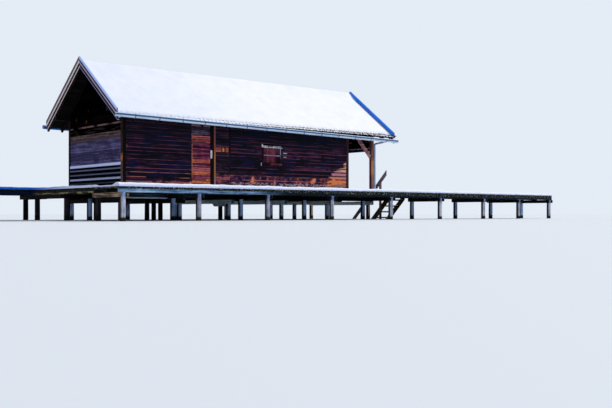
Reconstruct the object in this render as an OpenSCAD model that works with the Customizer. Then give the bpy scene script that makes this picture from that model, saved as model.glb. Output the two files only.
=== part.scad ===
// Timber boathouse on piles with a front walkway, a short access pier and a stair to the water.
// Building coordinates before centring: X along the ridge, Y away from the walkway, Z up,
// with zero at the front left corner of the walls and at the water's surface.

/* [Decks] */
// Height of the deck boards above the water
deck_top = 1160; // [1000:10:1400]
// Thickness of the deck boards
deck_t = 60; // [40:5:70]
// Width of the front walkway
walk_w = 1900; // [1600:10:2400]
// Width of the deck along the left gable
gable_deck_w = 1200; // [900:10:1600]
// Width of the access pier
pier_w = 1750; // [1400:10:2400]
// Number of bays of the access pier
pier_bays = 2; // [1:1:4]
// Length of one bay of the access pier
pier_bay = 3100; // [2500:10:3500]
// Height of the stringers under the deck boards
stringer_h = 140; // [100:5:180]
// Thickness of the stringers under the deck boards
stringer_t = 80; // [60:5:100]
// How far the deck boards stand out past the edge stringers
board_out = 30; // [10:5:50]

/* [Deck piles] */
// Diameter of the piles under the decks
deck_pile_d = 205; // [120:5:230]
// Distance from the walkway's front edge to the front pile row
front_row_in = 100; // [90:5:150]
// Distance from the house wall to the rear pile row
rear_row_out = 115; // [95:5:150]
// Distance from the left end of the walkway to its first piles
first_pile_in = 200; // [100:10:400]
// Distance from the far edge of the access pier to its far pile row
pier_far_in = 150; // [100:10:300]
// Distance from the near edge of the access pier to its near pile row
pier_near_in = 500; // [200:10:600]
// Height of the planks that clamp the pile heads
clamp_h = 155; // [120:5:180]
// Thickness of the planks that clamp the pile heads
clamp_t = 70; // [60:5:100]
// How far the clamping planks stand out past the deck's edge
clamp_out = 30; // [10:5:60]

/* [House base] */
// Length of the closed part of the boathouse
house_l = 11100; // [9000:50:13000]
// Width of the boathouse over its posts
house_w = 4250; // [3600:50:5000]
// Depth of the open porch at the right end
porch_d = 1550; // [1200:10:2000]
// Reach of the porch's knee braces along the wall plate
reach = 1150; // [700:10:1200]
// Width of the knee braces
brace_w = 140; // [80:5:170]
// Thickness of the knee braces
brace_t = 90; // [70:5:110]
// Diameter of the piles under the boathouse
house_pile_d = 190; // [150:5:220]
// Distance from the front wall to the front row of house piles
house_pile_in = 280; // [200:10:400]
// Distance from the back wall to the back row of house piles
back_pile_in = 95; // [95:5:300]
// How far the middle pile of the fifth cross row stands behind the middle
stray_pile = 330; // [0:10:500]
// Height of the crossheads on the house piles
crosshead_h = 155; // [120:5:200]
// Width of the crossheads on the house piles
crosshead_w = 160; // [140:5:200]
// Height of the long bearers
bearer_h = 180; // [140:5:220]
// Width of the long bearers
bearer_w = 140; // [120:5:180]
// Height of the floor joists
joist_h = 120; // [100:5:160]
// Width of the floor joists
joist_w = 100; // [80:5:120]
// Thickness of the floor boards
floor_t = 60; // [40:5:70]

/* [Walls] */
// Side of the square posts and of the sills
post_s = 140; // [120:5:180]
// Width of the faces of the porch posts
porch_post_w = 165; // [120:5:200]
// Height from the deck to the underside of the wall plates
wall_h = 2690; // [2500:10:2900]
// Thickness of the wall boards
board_t = 40; // [30:5:50]
// Set back of the wall boards behind the faces of the posts
board_in = 12; // [8:1:20]
// Height of the wall plates
plate_h = 160; // [120:5:200]
// Height from the deck to the underside of the tie beams
tie_up = 1900; // [1850:10:2100]
// Height of the tie beams
tie_h = 160; // [120:5:200]
// Thickness of the tie beams
tie_t = 110; // [80:5:120]
// Width and depth of the wall studs
stud_s = 90; // [70:5:100]
// Height of the lapped weatherboards on the left gable
lap_h = 835; // [500:5:1000]
// Number of lapped weatherboards
laps = 5; // [3:1:6]
// Thickness of a weatherboard at its lower edge
lap_t = 26; // [20:1:32]

/* [Door and window] */
// Distance from the left corner to the doorway
door_x = 2910; // [2400:10:3400]
// Width of the doorway
door_w = 1000; // [850:10:1100]
// Height of the door leaf
leaf_h = 1980; // [1850:10:2050]
// Gap beside the door leaf
leaf_gap = 7; // [6:1:9]
// Gap under the door leaf
leaf_low = 10; // [8:1:15]
// Width of the face of the latch post
latch_w = 85; // [70:5:100]
// Width of the fixed panel beside the latch post
panel_w = 725; // [600:5:900]
// Diameter of the hinge pins
pin_d = 14; // [12:1:18]
// Clearance round the hinge pins
pin_gap = 0.4; // [0.3:0.1:0.8]
// Length of the strap hinges on the leaf
strap_l = 640; // [400:10:800]
// Height of the handle's middle above the foot of the leaf
handle_up = 1270; // [1000:10:1400]
// Height of the handle's plate
handle_h = 310; // [200:10:350]
// Distance from the left corner to the clear window opening
win_x = 6350; // [5800:10:6900]
// Height from the deck to the clear window opening
win_up = 1145; // [1000:10:1300]
// Width of the clear window opening
win_w = 850; // [700:10:1000]
// Height of the clear window opening
win_h = 600; // [450:10:700]
// Thickness of the window lining
lining_t = 45; // [30:5:60]
// Width of the window trim on the wall
trim_w = 90; // [70:5:120]

/* [Roof] */
// Pitch of the roof
pitch = 37.5; // [32:0.5:42]
// Overhang of the eaves past the walls
eave_out = 700; // [500:10:900]
// Overhang of the roof past the left gable
left_out = 600; // [400:10:800]
// Overhang of the roof past the porch posts
right_out = 630; // [500:10:900]
// Thickness of the boarded and tiled roof
roof_t = 90; // [70:5:140]
// Width of the rafters
rafter_w = 80; // [60:5:100]
// Depth of the rafters
rafter_d = 120; // [100:5:160]
// Number of rafter pairs over the walls
rafters_n = 14; // [10:1:18]
// Depth of the seat cut in the rafters
seat_cut = 40; // [25:5:60]
// Thickness of the barge boards
barge_t = 30; // [24:2:40]
// How far the barge boards reach below the tiles
barge_low = 65; // [40:5:120]
// How far the barge boards stand above the tiles
barge_up = 140; // [80:5:160]
// Thickness of the sheet metal on the verges
sheet_t = 4; // [2:1:6]
// Height of the sheet metal's outer face
sheet_h = 105; // [90:5:170]

/* [Gutters] */
// Outer radius of the gutters
gutter_r = 75; // [60:5:90]
// Wall of the gutters
gutter_t = 4; // [3:1:6]
// How far the gutters reach past the verges
gutter_out = 90; // [40:10:150]
// Height of the gutters' upright sides above the round
gutter_side = 50; // [20:5:60]
// Fall of the gutters from the left end to the right end
gutter_fall = 155; // [0:5:170]
// Diameter of the downpipe
pipe_d = 85; // [75:5:100]
// Distance from the porch post to the middle of the downpipe
pipe_off = 105; // [70:5:150]
// How far the gutter's outlet lies to the left of the downpipe
outlet_back = 300; // [100:10:400]
// How far the downpipe reaches below the deck
pipe_low = 250; // [100:10:400]

/* [Stair] */
// Distance from the porch post to the stair
stair_off = 950; // [700:10:2000]
// Clear width of the stair
stair_w = 930; // [700:10:1100]
// Rise of a tread
rise = 270; // [220:5:290]
// Depth of a tread
tread_d = 235; // [180:5:260]
// Thickness of a tread
tread_t = 45; // [35:5:60]
// Width of the stair stringers
flight_w = 220; // [200:5:260]
// Thickness of the stair stringers
flight_t = 60; // [40:5:70]
// Pitch of the stair
stair_pitch = 45; // [40:1:50]
// Height of the handrail's top end above the deck
rail_up = 1080; // [900:10:1200]
// Width of the handrail board
rail_w = 170; // [100:5:200]
// Thickness of the handrail board
rail_t = 40; // [30:5:50]
// Side of the handrail's post
rail_post = 90; // [70:5:110]

/* [Hidden] */
$fn = 40;

// Irregular bays of the walkway, from its left end
walk_bays = [3000, 3100, 3300, 3450, 3250, 3200, 2850, 2700];

// Levels of the decks
stringer_top = deck_top - deck_t;
clamp_top = stringer_top - stringer_h;

// Levels of the house base
joist_top = deck_top - floor_t;
bearer_top = joist_top - joist_h;
crosshead_top = bearer_top - bearer_h;
house_pile_top = crosshead_top - crosshead_h;
sill_top = joist_top + post_s;

// Plan of the decks
walk_left = -gable_deck_w;
first_x = walk_left + first_pile_in;
function sum_to(list, count) = count == 0 ? 0 : list[count - 1] + sum_to(list, count - 1);
bent_xs = [for (i = [0:len(walk_bays)]) first_x + sum_to(walk_bays, i)];
walk_right = bent_xs[len(walk_bays)] + 150;
front_row_y = -walk_w + front_row_in;
rear_row_y = -rear_row_out;
pier_near_y = house_w;
pier_far_y = house_w + pier_w;
pier_left = walk_left - pier_bays * pier_bay;
side_row_x = walk_left + deck_pile_d / 2 + 50;
side_row_y = house_w * 0.52;
inner_row_x = -deck_pile_d / 2 - 40;
pier_near_row = pier_near_y + pier_near_in;
pier_far_row = pier_far_y - pier_far_in;
stringer_out = 30;

// Plan of the house
porch_x = house_l + porch_d;
post_right = porch_x - post_s + porch_post_w;
plate_y = house_w - post_s;
mid_y = house_w / 2;
bent_shares = [0, 0.197, 0.378, 0.593, 0.798, 1];
bent_run = porch_x - post_s / 2 - crosshead_w / 2;
house_bent_xs = [for (share = bent_shares) crosshead_w / 2 + share * bent_run];
saddle_h = 250;
saddle_l = 1000;
saddle_x = house_bent_xs[2] + 920;

// Roof lines, all given where they cross a vertical plane at the distance y from the front wall
tan_p = tan(pitch);
cos_p = cos(pitch);
plate_bot = deck_top + wall_h;
plate_top = plate_bot + plate_h;
tie_bot = deck_top + tie_up;
tie_top = tie_bot + tie_h;
function rafter_low(y) = plate_top - seat_cut + y * tan_p;
function roof_low(y) = rafter_low(y) + rafter_d / cos_p;
function tile_top(y) = roof_low(y) + roof_t / cos_p;
verge_left = -left_out;
verge_right = porch_x + right_out;
rafter_pitch = (porch_x - rafter_w) / (rafters_n - 1);
rafter_xs = concat(
    [verge_left + barge_t],
    [for (i = [0:rafters_n - 1]) i * rafter_pitch],
    [verge_right - barge_t - rafter_w]
);
tail_in = 35;
ridge_gap = 0.3;

// Gutter and downpipe
strap_w = 5;
hook_t = 17;
hook_run = gutter_r + 2 * strap_w + tail_in;
gutter_y = -eave_out - gutter_r - 2 * strap_w;
gutter_z = roof_low(-eave_out) - 10 + gutter_r - strap_w + 3;
gutter_left = verge_left - gutter_out;
gutter_l = verge_right - verge_left + 2 * gutter_out;
gutter_tilt = atan(gutter_fall / gutter_l);
function gutter_level(x) = gutter_z - (x - gutter_left) * gutter_fall / gutter_l;
pipe_x = post_right + pipe_off;
pipe_y = 50;
outlet_x = pipe_x - outlet_back;
neck_slope = 1;
bend = 30;
clip_h = 30;
clip_ups = [wall_h * 0.18, wall_h * 0.66];

// Door and window
leaf_bot = sill_top + leaf_low;
leaf_top = leaf_bot + leaf_h;
door_right = door_x + door_w;
latch_right = door_right + latch_w;
panel_right = latch_right + panel_w;
pin_x = door_x;
pin_y = board_in - 20;
eye_r = pin_d / 2 + 7;
strap_h = 40;
strap_t = 6;
strap_ups = [leaf_h * 0.13, leaf_h * 0.83];
win_bot = deck_top + win_up;
frame_x = win_x - lining_t;
frame_w = win_w + 2 * lining_t;
frame_z = win_bot - lining_t;
frame_h = win_h + 2 * lining_t;
trim_t = 18;
bar_w = 45;
seat_gap = 0.3;

// Stair
tan_s = tan(stair_pitch);
cos_s = cos(stair_pitch);
stair_x = porch_x + stair_off;
treads = floor((deck_top - tread_t) / rise);
rail_top = deck_top + rail_up;
rail_post_y = 400;

// Centre of the whole object's outline
mid_x = (pier_left - stringer_out + walk_right + stringer_out) / 2;
box_mid_y = (-walk_w - clamp_out + pier_far_y + clamp_out) / 2;

// Carries a piece from the building's corner to the middle of the object's outline
module placed() {
    translate([-mid_x, -box_mid_y, 0]) children();
}

// A straight timber between two opposite corners
module timber(from, to) {
    translate(from) cube(to - from);
}

// Extrudes an outline drawn in Y and Z along X
module along_x(x, length) {
    translate([x, 0, 0]) rotate([90, 0, 90]) linear_extrude(length) children();
}

// The back half of the roof as a mirror image of the front half
module both_slopes() {
    children();
    translate([0, house_w, 0]) mirror([0, 1, 0]) children();
}

module pile(x, y, top, d) {
    translate([x, y, 0]) cylinder(h = top, d = d);
}

// A pair of planks along Y that clamp the pile heads at x
module clamp_pair_y(x, from_y, to_y) {
    for (side = [-1, 1])
        translate([x + side * (deck_pile_d + clamp_t) / 2 - clamp_t / 2, from_y, clamp_top - clamp_h])
            cube([clamp_t, to_y - from_y, clamp_h]);
}

// A band of the front slope between two heights above the tiles, measured square to the slope
module slope_band(low, high, from_y, to_y) {
    polygon([
        [from_y, tile_top(from_y) + low / cos_p],
        [to_y, tile_top(to_y) + low / cos_p],
        [to_y, tile_top(to_y) + high / cos_p],
        [from_y, tile_top(from_y) + high / cos_p]
    ]);
}

module walkway_piles() {
    color("lightslategray") placed()
        for (x = bent_xs) {
            pile(x, front_row_y, clamp_top, deck_pile_d);
            pile(x, rear_row_y, clamp_top, deck_pile_d);
        }
}

module side_deck_piles() {
    color("dimgray") placed() {
        pile(side_row_x, side_row_y, clamp_top, deck_pile_d);
        pile(inner_row_x, side_row_y, clamp_top, deck_pile_d);
        for (i = [0:pier_bays]) {
            pile(side_row_x - i * pier_bay, pier_near_row, clamp_top, deck_pile_d);
            pile(side_row_x - i * pier_bay, pier_far_row, clamp_top, deck_pile_d);
        }
    }
}

module boathouse_piles() {
    color("#2b2622") placed() {
        for (x = house_bent_xs, y = [house_pile_in, house_w - back_pile_in])
            pile(x, y, house_pile_top, house_pile_d);
        for (i = [0, 1])
            pile(house_bent_xs[i], mid_y, house_pile_top, house_pile_d);
        pile(house_bent_xs[4], mid_y + stray_pile, house_pile_top, house_pile_d);
        for (side = [-1, 1])
            pile(house_bent_xs[1] + side * 300, mid_y, crosshead_top, house_pile_d);
        pile(saddle_x, mid_y, crosshead_top - saddle_h, house_pile_d);
    }
}

module walkway_clamps() {
    color("#6f7f97") placed()
        for (x = bent_xs)
            clamp_pair_y(x, -walk_w - clamp_out, -10);
}

module side_deck_clamps() {
    color("#6f7f97") placed() {
        for (i = [0:pier_bays])
            clamp_pair_y(side_row_x - i * pier_bay, pier_near_y, pier_far_y + clamp_out);
        for (side = [-1, 1])
            translate([walk_left - clamp_out, side_row_y + side * (deck_pile_d + clamp_t) / 2 - clamp_t / 2,
                clamp_top - clamp_h])
                cube([gable_deck_w + clamp_out - 10, clamp_t, clamp_h]);
    }
}

module boathouse_crossheads() {
    color("#2f2a27") placed() {
        for (x = house_bent_xs)
            timber([x - crosshead_w / 2, 0, house_pile_top], [x + crosshead_w / 2, house_w, crosshead_top]);
        translate([saddle_x - bearer_w / 2, mid_y, 0]) rotate([90, 0, 90]) linear_extrude(bearer_w)
            polygon([
                [-saddle_l / 2 + 120, crosshead_top - saddle_h],
                [saddle_l / 2 - 120, crosshead_top - saddle_h],
                [saddle_l / 2, crosshead_top - saddle_h + 120], [saddle_l / 2, crosshead_top],
                [-saddle_l / 2, crosshead_top], [-saddle_l / 2, crosshead_top - saddle_h + 120]
            ]);
    }
}

module walkway_stringers() {
    color("#56687f") placed()
        for (y = [-walk_w + board_out, -walk_w / 2 - stringer_t / 2, -2 * stringer_t])
            timber([walk_left + board_out, y, clamp_top],
                [walk_right + stringer_out, y + stringer_t, stringer_top]);
}

module side_deck_stringers() {
    color("#56687f") placed() {
        for (y = [pier_near_y + board_out, (pier_near_y + pier_far_y - stringer_t) / 2,
            pier_far_y - board_out - stringer_t])
            timber([pier_left - stringer_out, y, clamp_top], [0, y + stringer_t, stringer_top]);
        for (x = [walk_left + board_out, -board_out - stringer_t])
            timber([x, -stringer_t + 1, clamp_top],
                [x + stringer_t, pier_near_y + board_out - 1, stringer_top]);
    }
}

module walkway_deck() {
    color("#8b93a3") placed()
        timber([walk_left, -walk_w, stringer_top], [walk_right, 0, deck_top]);
}

module gable_and_porch_decks() {
    color("#8b93a3") placed() {
        timber([walk_left, 0, stringer_top], [0, pier_near_y, deck_top]);
        timber([house_l, 0, joist_top], [porch_x + board_out, house_w, deck_top]);
    }
}

module access_pier_deck() {
    color("#8b93a3") placed()
        timber([pier_left, pier_near_y, stringer_top], [0, pier_far_y, deck_top]);
}

module floor_bearers() {
    color("#332c28") placed()
        for (y = [0, mid_y - bearer_w / 2, house_w - bearer_w])
            timber([0, y, crosshead_top], [porch_x, y + bearer_w, bearer_top]);
}

module floor_joists() {
    joists = 14;
    color("#3a312b") placed()
        for (i = [0:joists - 1])
            translate([i * (porch_x - joist_w) / (joists - 1), 0, bearer_top])
                cube([joist_w, house_w, joist_h]);
}

module floor() {
    color("#6a5444") placed()
        timber([post_s, post_s, joist_top], [house_l - post_s, house_w - post_s, deck_top]);
}

// Long sills over the whole length, end sills fitted between them
module sill_beams() {
    color("#4a3434") placed() {
        for (y = [0, plate_y])
            timber([0, y, joist_top], [house_l, y + post_s, sill_top]);
        for (x = [0, house_l - post_s])
            timber([x, post_s + seat_gap, joist_top], [x + post_s, plate_y - seat_gap, sill_top]);
    }
}

module corner_posts() {
    color("#7a5548") placed() {
        for (x = [0, house_l - post_s], y = [0, plate_y])
            timber([x, y, sill_top], [x + post_s, y + post_s, plate_bot]);
        for (y = [0, plate_y])
            timber([porch_x - post_s, y, deck_top], [post_right, y + post_s, plate_bot]);
    }
}

module wall_posts() {
    back = board_in + board_t;
    color("#a5694a") placed() {
        timber([door_right, 4, sill_top], [latch_right, back + stud_s, plate_bot]);
        for (x = [door_x - stud_s, panel_right - stud_s / 2, frame_x - stud_s, frame_x + frame_w,
            (frame_x + frame_w + house_l) / 2])
            timber([x, back, sill_top], [x + stud_s, back + stud_s, plate_bot]);
        for (i = [1:4])
            translate([i * house_l / 5 - stud_s / 2, house_w - back - stud_s, sill_top])
                cube([stud_s, stud_s, plate_bot - sill_top]);
        for (x = [back, house_l - back - stud_s])
            timber([x, mid_y - stud_s / 2, sill_top], [x + stud_s, mid_y + stud_s / 2, tie_bot]);
    }
}

module front_wall_left() {
    color("#3c2228") placed()
        timber([post_s, board_in, sill_top], [door_x, board_in + board_t, plate_bot]);
}

module front_wall_over_door() {
    color("#46343f") placed()
        timber([door_x, board_in, leaf_top + leaf_gap + 3], [door_right, board_in + board_t, plate_bot]);
}

module front_wall_side_panel() {
    color("#4a2b34") placed()
        timber([latch_right, board_in, sill_top], [panel_right, board_in + board_t, plate_bot]);
}

module front_wall_right() {
    color("#3f2430") placed() difference() {
        timber([panel_right, board_in, sill_top], [house_l - post_s, board_in + board_t, plate_bot]);
        timber([frame_x, board_in - 1, frame_z],
            [frame_x + frame_w, board_in + board_t + 1, frame_z + frame_h]);
    }
}

module back_wall() {
    color("#3c2228") placed()
        timber([post_s, house_w - board_in - board_t, sill_top],
            [house_l - post_s, house_w - board_in, plate_bot]);
}

module left_gable_wall() {
    color("#4b4a5c") placed()
        timber([board_in, post_s, sill_top], [board_in + board_t, plate_y, tie_bot]);
}

// Saw-toothed outline of boards that each lap over the one below
module left_gable_weatherboards() {
    lap = lap_h / laps;
    color("#5d5f74") placed()
        translate([board_in, plate_y, sill_top]) rotate([90, 0, 0]) linear_extrude(plate_y - post_s)
            polygon(concat(
                [[0, lap_h], [0, 0]],
                [for (i = [0:laps - 1]) each [[-lap_t, i * lap], [-lap_t / 3, (i + 1) * lap]]]
            ));
}

// Boarding over a tie beam, up to just under the rafters
module gable_outline() {
    polygon([
        [post_s, tie_top], [plate_y, tie_top], [plate_y, rafter_low(post_s) - seat_gap],
        [mid_y, rafter_low(mid_y) - seat_gap], [post_s, rafter_low(post_s) - seat_gap]
    ]);
}

module left_gable_triangle() {
    color("#17141a") placed() along_x(board_in, board_t) gable_outline();
}

module right_end_wall() {
    color("#3c2228") placed() along_x(house_l - board_in - board_t, board_t)
        polygon([
            [post_s, sill_top], [plate_y, sill_top], [plate_y, roof_low(post_s) - seat_gap],
            [mid_y, roof_low(mid_y) - seat_gap], [post_s, roof_low(post_s) - seat_gap]
        ]);
}

module porch_gable() {
    color("#1d171a") placed() along_x(porch_x - rafter_w / 2 - board_t / 2, board_t) gable_outline();
}

module tie_beams() {
    color("#5a4038") placed()
        for (x = [0, house_l - board_in - board_t - tie_t, porch_x - (post_s + tie_t) / 2])
            timber([x, post_s, tie_bot], [x + tie_t, plate_y, tie_top]);
}

module wall_plates() {
    color("#4a362f") placed()
        for (y = [0, plate_y])
            timber([verge_left + barge_t, y, plate_bot], [verge_right - barge_t, y + post_s, plate_top]);
}

// Knee braces between the wall plates and the porch posts
module porch_braces() {
    color("#6b4a3c") placed()
        for (y = [post_s / 2, house_w - post_s / 2])
            translate([0, y + brace_t / 2, 0]) rotate([90, 0, 0]) linear_extrude(brace_t)
                polygon([
                    [porch_x - post_s - reach, plate_bot], [porch_x - post_s, plate_bot - reach],
                    [porch_x - post_s, plate_bot - reach + brace_w * sqrt(2)],
                    [porch_x - post_s - reach + brace_w * sqrt(2), plate_bot]
                ]);
}

// One rafter with its seat cut over the wall plate and plumb cuts at tail and ridge
module rafter_outline() {
    tail_y = -eave_out + tail_in;
    polygon([
        [tail_y, rafter_low(tail_y)], [0, rafter_low(0)], [0, plate_top],
        [seat_cut / tan_p, plate_top], [mid_y - ridge_gap / 2, rafter_low(mid_y - ridge_gap / 2)],
        [mid_y - ridge_gap / 2, roof_low(mid_y - ridge_gap / 2)], [tail_y, roof_low(tail_y)]
    ]);
}

module rafters() {
    color("#5b4034") placed()
        for (x = rafter_xs)
            both_slopes() along_x(x, rafter_w) rafter_outline();
}

module roof_slab() {
    along_x(verge_left + barge_t, verge_right - verge_left - 2 * barge_t)
        slope_band(-roof_t, 0, -eave_out, mid_y);
}

module roof_front_slope() {
    color("#dfe5f2") placed() roof_slab();
}

module roof_back_slope() {
    color("#dfe5f2") placed() translate([0, house_w, 0]) mirror([0, 1, 0]) roof_slab();
}

module barge_boards() {
    color("#5f5468") placed()
        for (x = [verge_left, verge_right - barge_t])
            along_x(x, barge_t) union() {
                slope_band(-barge_low, barge_up, -eave_out, mid_y);
                translate([house_w, 0]) mirror([1, 0])
                    slope_band(-barge_low, barge_up, -eave_out, mid_y);
            }
}

// Sheet metal folded over the top of a barge board, its inner leg standing on the tiles
module verge_sheet() {
    skin = sheet_t + seat_gap;
    difference() {
        along_x(-skin, barge_t + 2 * skin) slope_band(0, barge_up + skin, -eave_out, mid_y);
        along_x(-seat_gap, barge_t + 2 * seat_gap)
            slope_band(-1, barge_up + seat_gap, -eave_out - 1, mid_y + 1);
        along_x(-skin - 1, skin + 1) slope_band(-1, barge_up + skin - sheet_h, -eave_out - 1, mid_y + 1);
    }
}

module verge_flashings() {
    color("#3f79c4") placed() {
        both_slopes() translate([verge_left, 0, 0]) verge_sheet();
        both_slopes() translate([verge_right, 0, 0]) mirror([1, 0, 0]) verge_sheet();
    }
}

// Half-round trough outline, drawn in Y and Z about the centre of its round
module trough(radius) {
    circle(radius);
    translate([-radius, 0]) square([2 * radius, gutter_side]);
}

// Carries a piece drawn along X to the falling line of the gutter
module on_gutter_line() {
    translate([gutter_left, gutter_y, gutter_z]) rotate([0, gutter_tilt, 0]) children();
}

module gutter_run() {
    on_gutter_line() {
        along_x(0, gutter_l) difference() {
            trough(gutter_r);
            trough(gutter_r - gutter_t);
            translate([-gutter_r + gutter_t, 1]) square([2 * (gutter_r - gutter_t), gutter_side]);
        }
        along_x(0, gutter_l) translate([-gutter_r - 4, gutter_side - 8]) circle(9, $fn = 24);
        for (x = [0, gutter_l - gutter_t])
            along_x(x, gutter_t) trough(gutter_r - 1);
    }
    for (x = rafter_xs)
        translate([0, gutter_y, gutter_level(x)]) along_x(x + rafter_w / 2 - 15, 30) {
            difference() {
                circle(gutter_r + strap_w);
                circle(gutter_r - 1);
                translate([-2 * gutter_r, 0]) square([4 * gutter_r, 2 * gutter_r]);
            }
            translate([0, -gutter_r - hook_t - 2]) {
                square([hook_run, hook_t]);
                translate([hook_run - hook_t, 0])
                    square([hook_t, roof_low(-eave_out) - gutter_level(x) + gutter_r + hook_t + 2]);
            }
        }
}

module gutters() {
    color("#9fb4cf") placed() both_slopes() gutter_run();
}

// Everything past a plane through a point of the pipe's line, square to a direction
module past(point, direction) {
    translate([point[0], 0, point[1]]) rotate([0, atan2(direction[0], direction[1]), 0])
        translate([-2 * pipe_d, -2 * pipe_d, 0]) cube(4 * pipe_d);
}

// Lengths of pipe along a line of points, butted on their mitres
module mitred_pipe(points) {
    last = len(points) - 1;
    ways = [for (i = [0:last - 1]) (points[i + 1] - points[i]) / norm(points[i + 1] - points[i])];
    for (i = [0:last - 1]) {
        from = i == 0 ? points[0] : points[i] - ways[i] * pipe_d;
        to = i == last - 1 ? points[last] : points[i + 1] + ways[i] * pipe_d;
        difference() {
            translate([from[0], 0, from[1]]) rotate([0, atan2(ways[i][0], ways[i][1]), 0])
                cylinder(h = norm(to - from), d = pipe_d);
            if (i > 0) past(points[i] + ways[i] * seat_gap / 2, -ways[i] - ways[i - 1]);
            if (i < last - 1) past(points[i + 1] - ways[i] * seat_gap / 2, ways[i] + ways[i + 1]);
        }
    }
}

// Neck from the gutter's outlet back to the post, then straight down past the deck
module downpipe() {
    neck_l = norm([outlet_x - pipe_x, gutter_y - pipe_y]);
    high_z = gutter_level(outlet_x) - gutter_r + 15;
    low_z = high_z - 2 * bend - (neck_l - 2 * bend) * tan(neck_slope);
    color("#6f93bd") placed() difference() {
        translate([pipe_x, pipe_y, 0]) {
            rotate([0, 0, atan2(gutter_y - pipe_y, outlet_x - pipe_x)]) mitred_pipe([
                [0, deck_top - pipe_low], [0, low_z], [bend, low_z + bend],
                [neck_l - bend, high_z - bend], [neck_l, high_z], [neck_l, high_z + 40]
            ]);
            for (up = clip_ups)
                translate([0, 0, deck_top + up]) {
                    cylinder(h = clip_h, d = pipe_d + 10);
                    translate([-pipe_off, -12, 0]) cube([pipe_off, 24, clip_h]);
                }
        }
        on_gutter_line() along_x(0, gutter_l) circle(gutter_r + seat_gap);
    }
}

module front_door() {
    color("#7a3f3f") placed()
        timber([door_x + leaf_gap, board_in, leaf_bot],
            [door_right - leaf_gap, board_in + board_t, leaf_top]);
}

// Strap hinges with eyes round the pins, and the pull handle on the closing side
module door_ironwork() {
    color("#d8dce6") placed() {
        for (up = strap_ups)
            translate([0, 0, leaf_bot + up]) {
                translate([pin_x, pin_y, 0]) difference() {
                    union() {
                        cylinder(h = strap_h, r = eye_r);
                        translate([0, -eye_r, 0]) cube([eye_r + 12, strap_t, strap_h]);
                    }
                    translate([0, 0, -1]) cylinder(h = strap_h + 2, r = pin_d / 2 + pin_gap);
                }
                translate([pin_x + eye_r + 12 - strap_t, pin_y - eye_r, 0])
                    cube([strap_t, board_in - pin_y + eye_r, strap_h]);
                translate([pin_x + eye_r + 12 - strap_t, board_in - strap_t, 0])
                    cube([strap_l, strap_t, strap_h]);
            }
        translate([door_right - 110, board_in, leaf_bot + handle_up]) rotate([90, 0, 0]) {
            linear_extrude(6) square([70, handle_h], center = true);
            for (side = [-1, 1])
                translate([0, side * handle_h * 0.36, 0]) cylinder(h = 46, r = 8);
            translate([0, handle_h * 0.39, 46]) rotate([90, 0, 0]) cylinder(h = handle_h * 0.78, r = 11);
        }
    }
}

// Fixed hinge pins, each on a bracket that is screwed to the wall boards
module door_pintles() {
    color("#3b3b40") placed()
        for (up = strap_ups)
            translate([0, 0, leaf_bot + up]) {
                translate([pin_x, pin_y, -seat_gap - 6]) cylinder(h = strap_h + 6, d = pin_d);
                translate([pin_x - 60, pin_y - eye_r + 2, -seat_gap - 12])
                    cube([60 + eye_r - 2, 2 * eye_r - 4, 12]);
                translate([pin_x - 60, pin_y, -seat_gap - 12]) cube([40, board_in - pin_y, 12]);
                translate([pin_x - 70, board_in - 5, -seat_gap - 60]) cube([52, 5, 100]);
            }
}

// Lining through the wall, flat trim on the face and a cross of bars
module window_frame() {
    color("#5b4a4a") placed() {
        difference() {
            union() {
                timber([frame_x, board_in - 1, frame_z],
                    [frame_x + frame_w, board_in + board_t + 40, frame_z + frame_h]);
                timber([win_x - trim_w, board_in - trim_t, win_bot - trim_w],
                    [win_x + win_w + trim_w, board_in, win_bot + win_h + trim_w]);
            }
            timber([win_x, board_in - trim_t - 1, win_bot],
                [win_x + win_w, board_in + board_t + 41, win_bot + win_h]);
        }
        timber([win_x, board_in + 4, win_bot + (win_h - bar_w) / 2],
            [win_x + win_w, board_in + 30, win_bot + (win_h + bar_w) / 2]);
        timber([win_x + (win_w - bar_w) / 2, board_in + 4, win_bot],
            [win_x + (win_w + bar_w) / 2, board_in + 30, win_bot + win_h]);
    }
}

module window_shutter() {
    color("#6a3440") placed()
        timber([win_x + seat_gap, board_in + 30 + seat_gap, win_bot + seat_gap],
            [win_x + win_w - seat_gap, board_in + 55, win_bot + win_h - seat_gap]);
}

// Stair stringers hung behind the walkway's rear stringer and cut off level at the water
module stair_stringers() {
    drop = flight_w / cos_s;
    foot_y = 20 + stringer_top / tan_s;
    color("#3a3230") placed()
        for (x = [stair_x, stair_x + flight_t + stair_w])
            along_x(x, flight_t) polygon([
                [-stringer_t, stringer_top], [20, stringer_top], [foot_y, 0],
                [foot_y - drop / tan_s, 0], [-stringer_t, stringer_top - drop + (20 + stringer_t) * tan_s]
            ]);
}

module stair_treads() {
    color("#55504e") placed()
        for (i = [1:treads]) {
            top = deck_top - i * rise;
            nose = 20 + (stringer_top - top) / tan_s - 5;
            timber([stair_x + flight_t, nose - tread_d, top - tread_t],
                [stair_x + flight_t + stair_w, nose, top]);
        }
}

// Sloping handrail board on the face of its post
module stair_handrail() {
    drop = rail_w / cos_s;
    foot_y = rail_top / tan_s;
    color("#3f342f") placed() {
        along_x(stair_x - rail_post - rail_t, rail_t)
            polygon([[0, rail_top], [foot_y, 0], [foot_y - drop / tan_s, 0], [0, rail_top - drop]]);
        along_x(stair_x - rail_post, rail_post) polygon([
            [rail_post_y, 0], [rail_post_y + rail_post, 0],
            [rail_post_y + rail_post, rail_top - (rail_post_y + rail_post) * tan_s],
            [rail_post_y, rail_top - (rail_post_y + rail_post) * tan_s]
        ]);
    }
}

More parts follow.
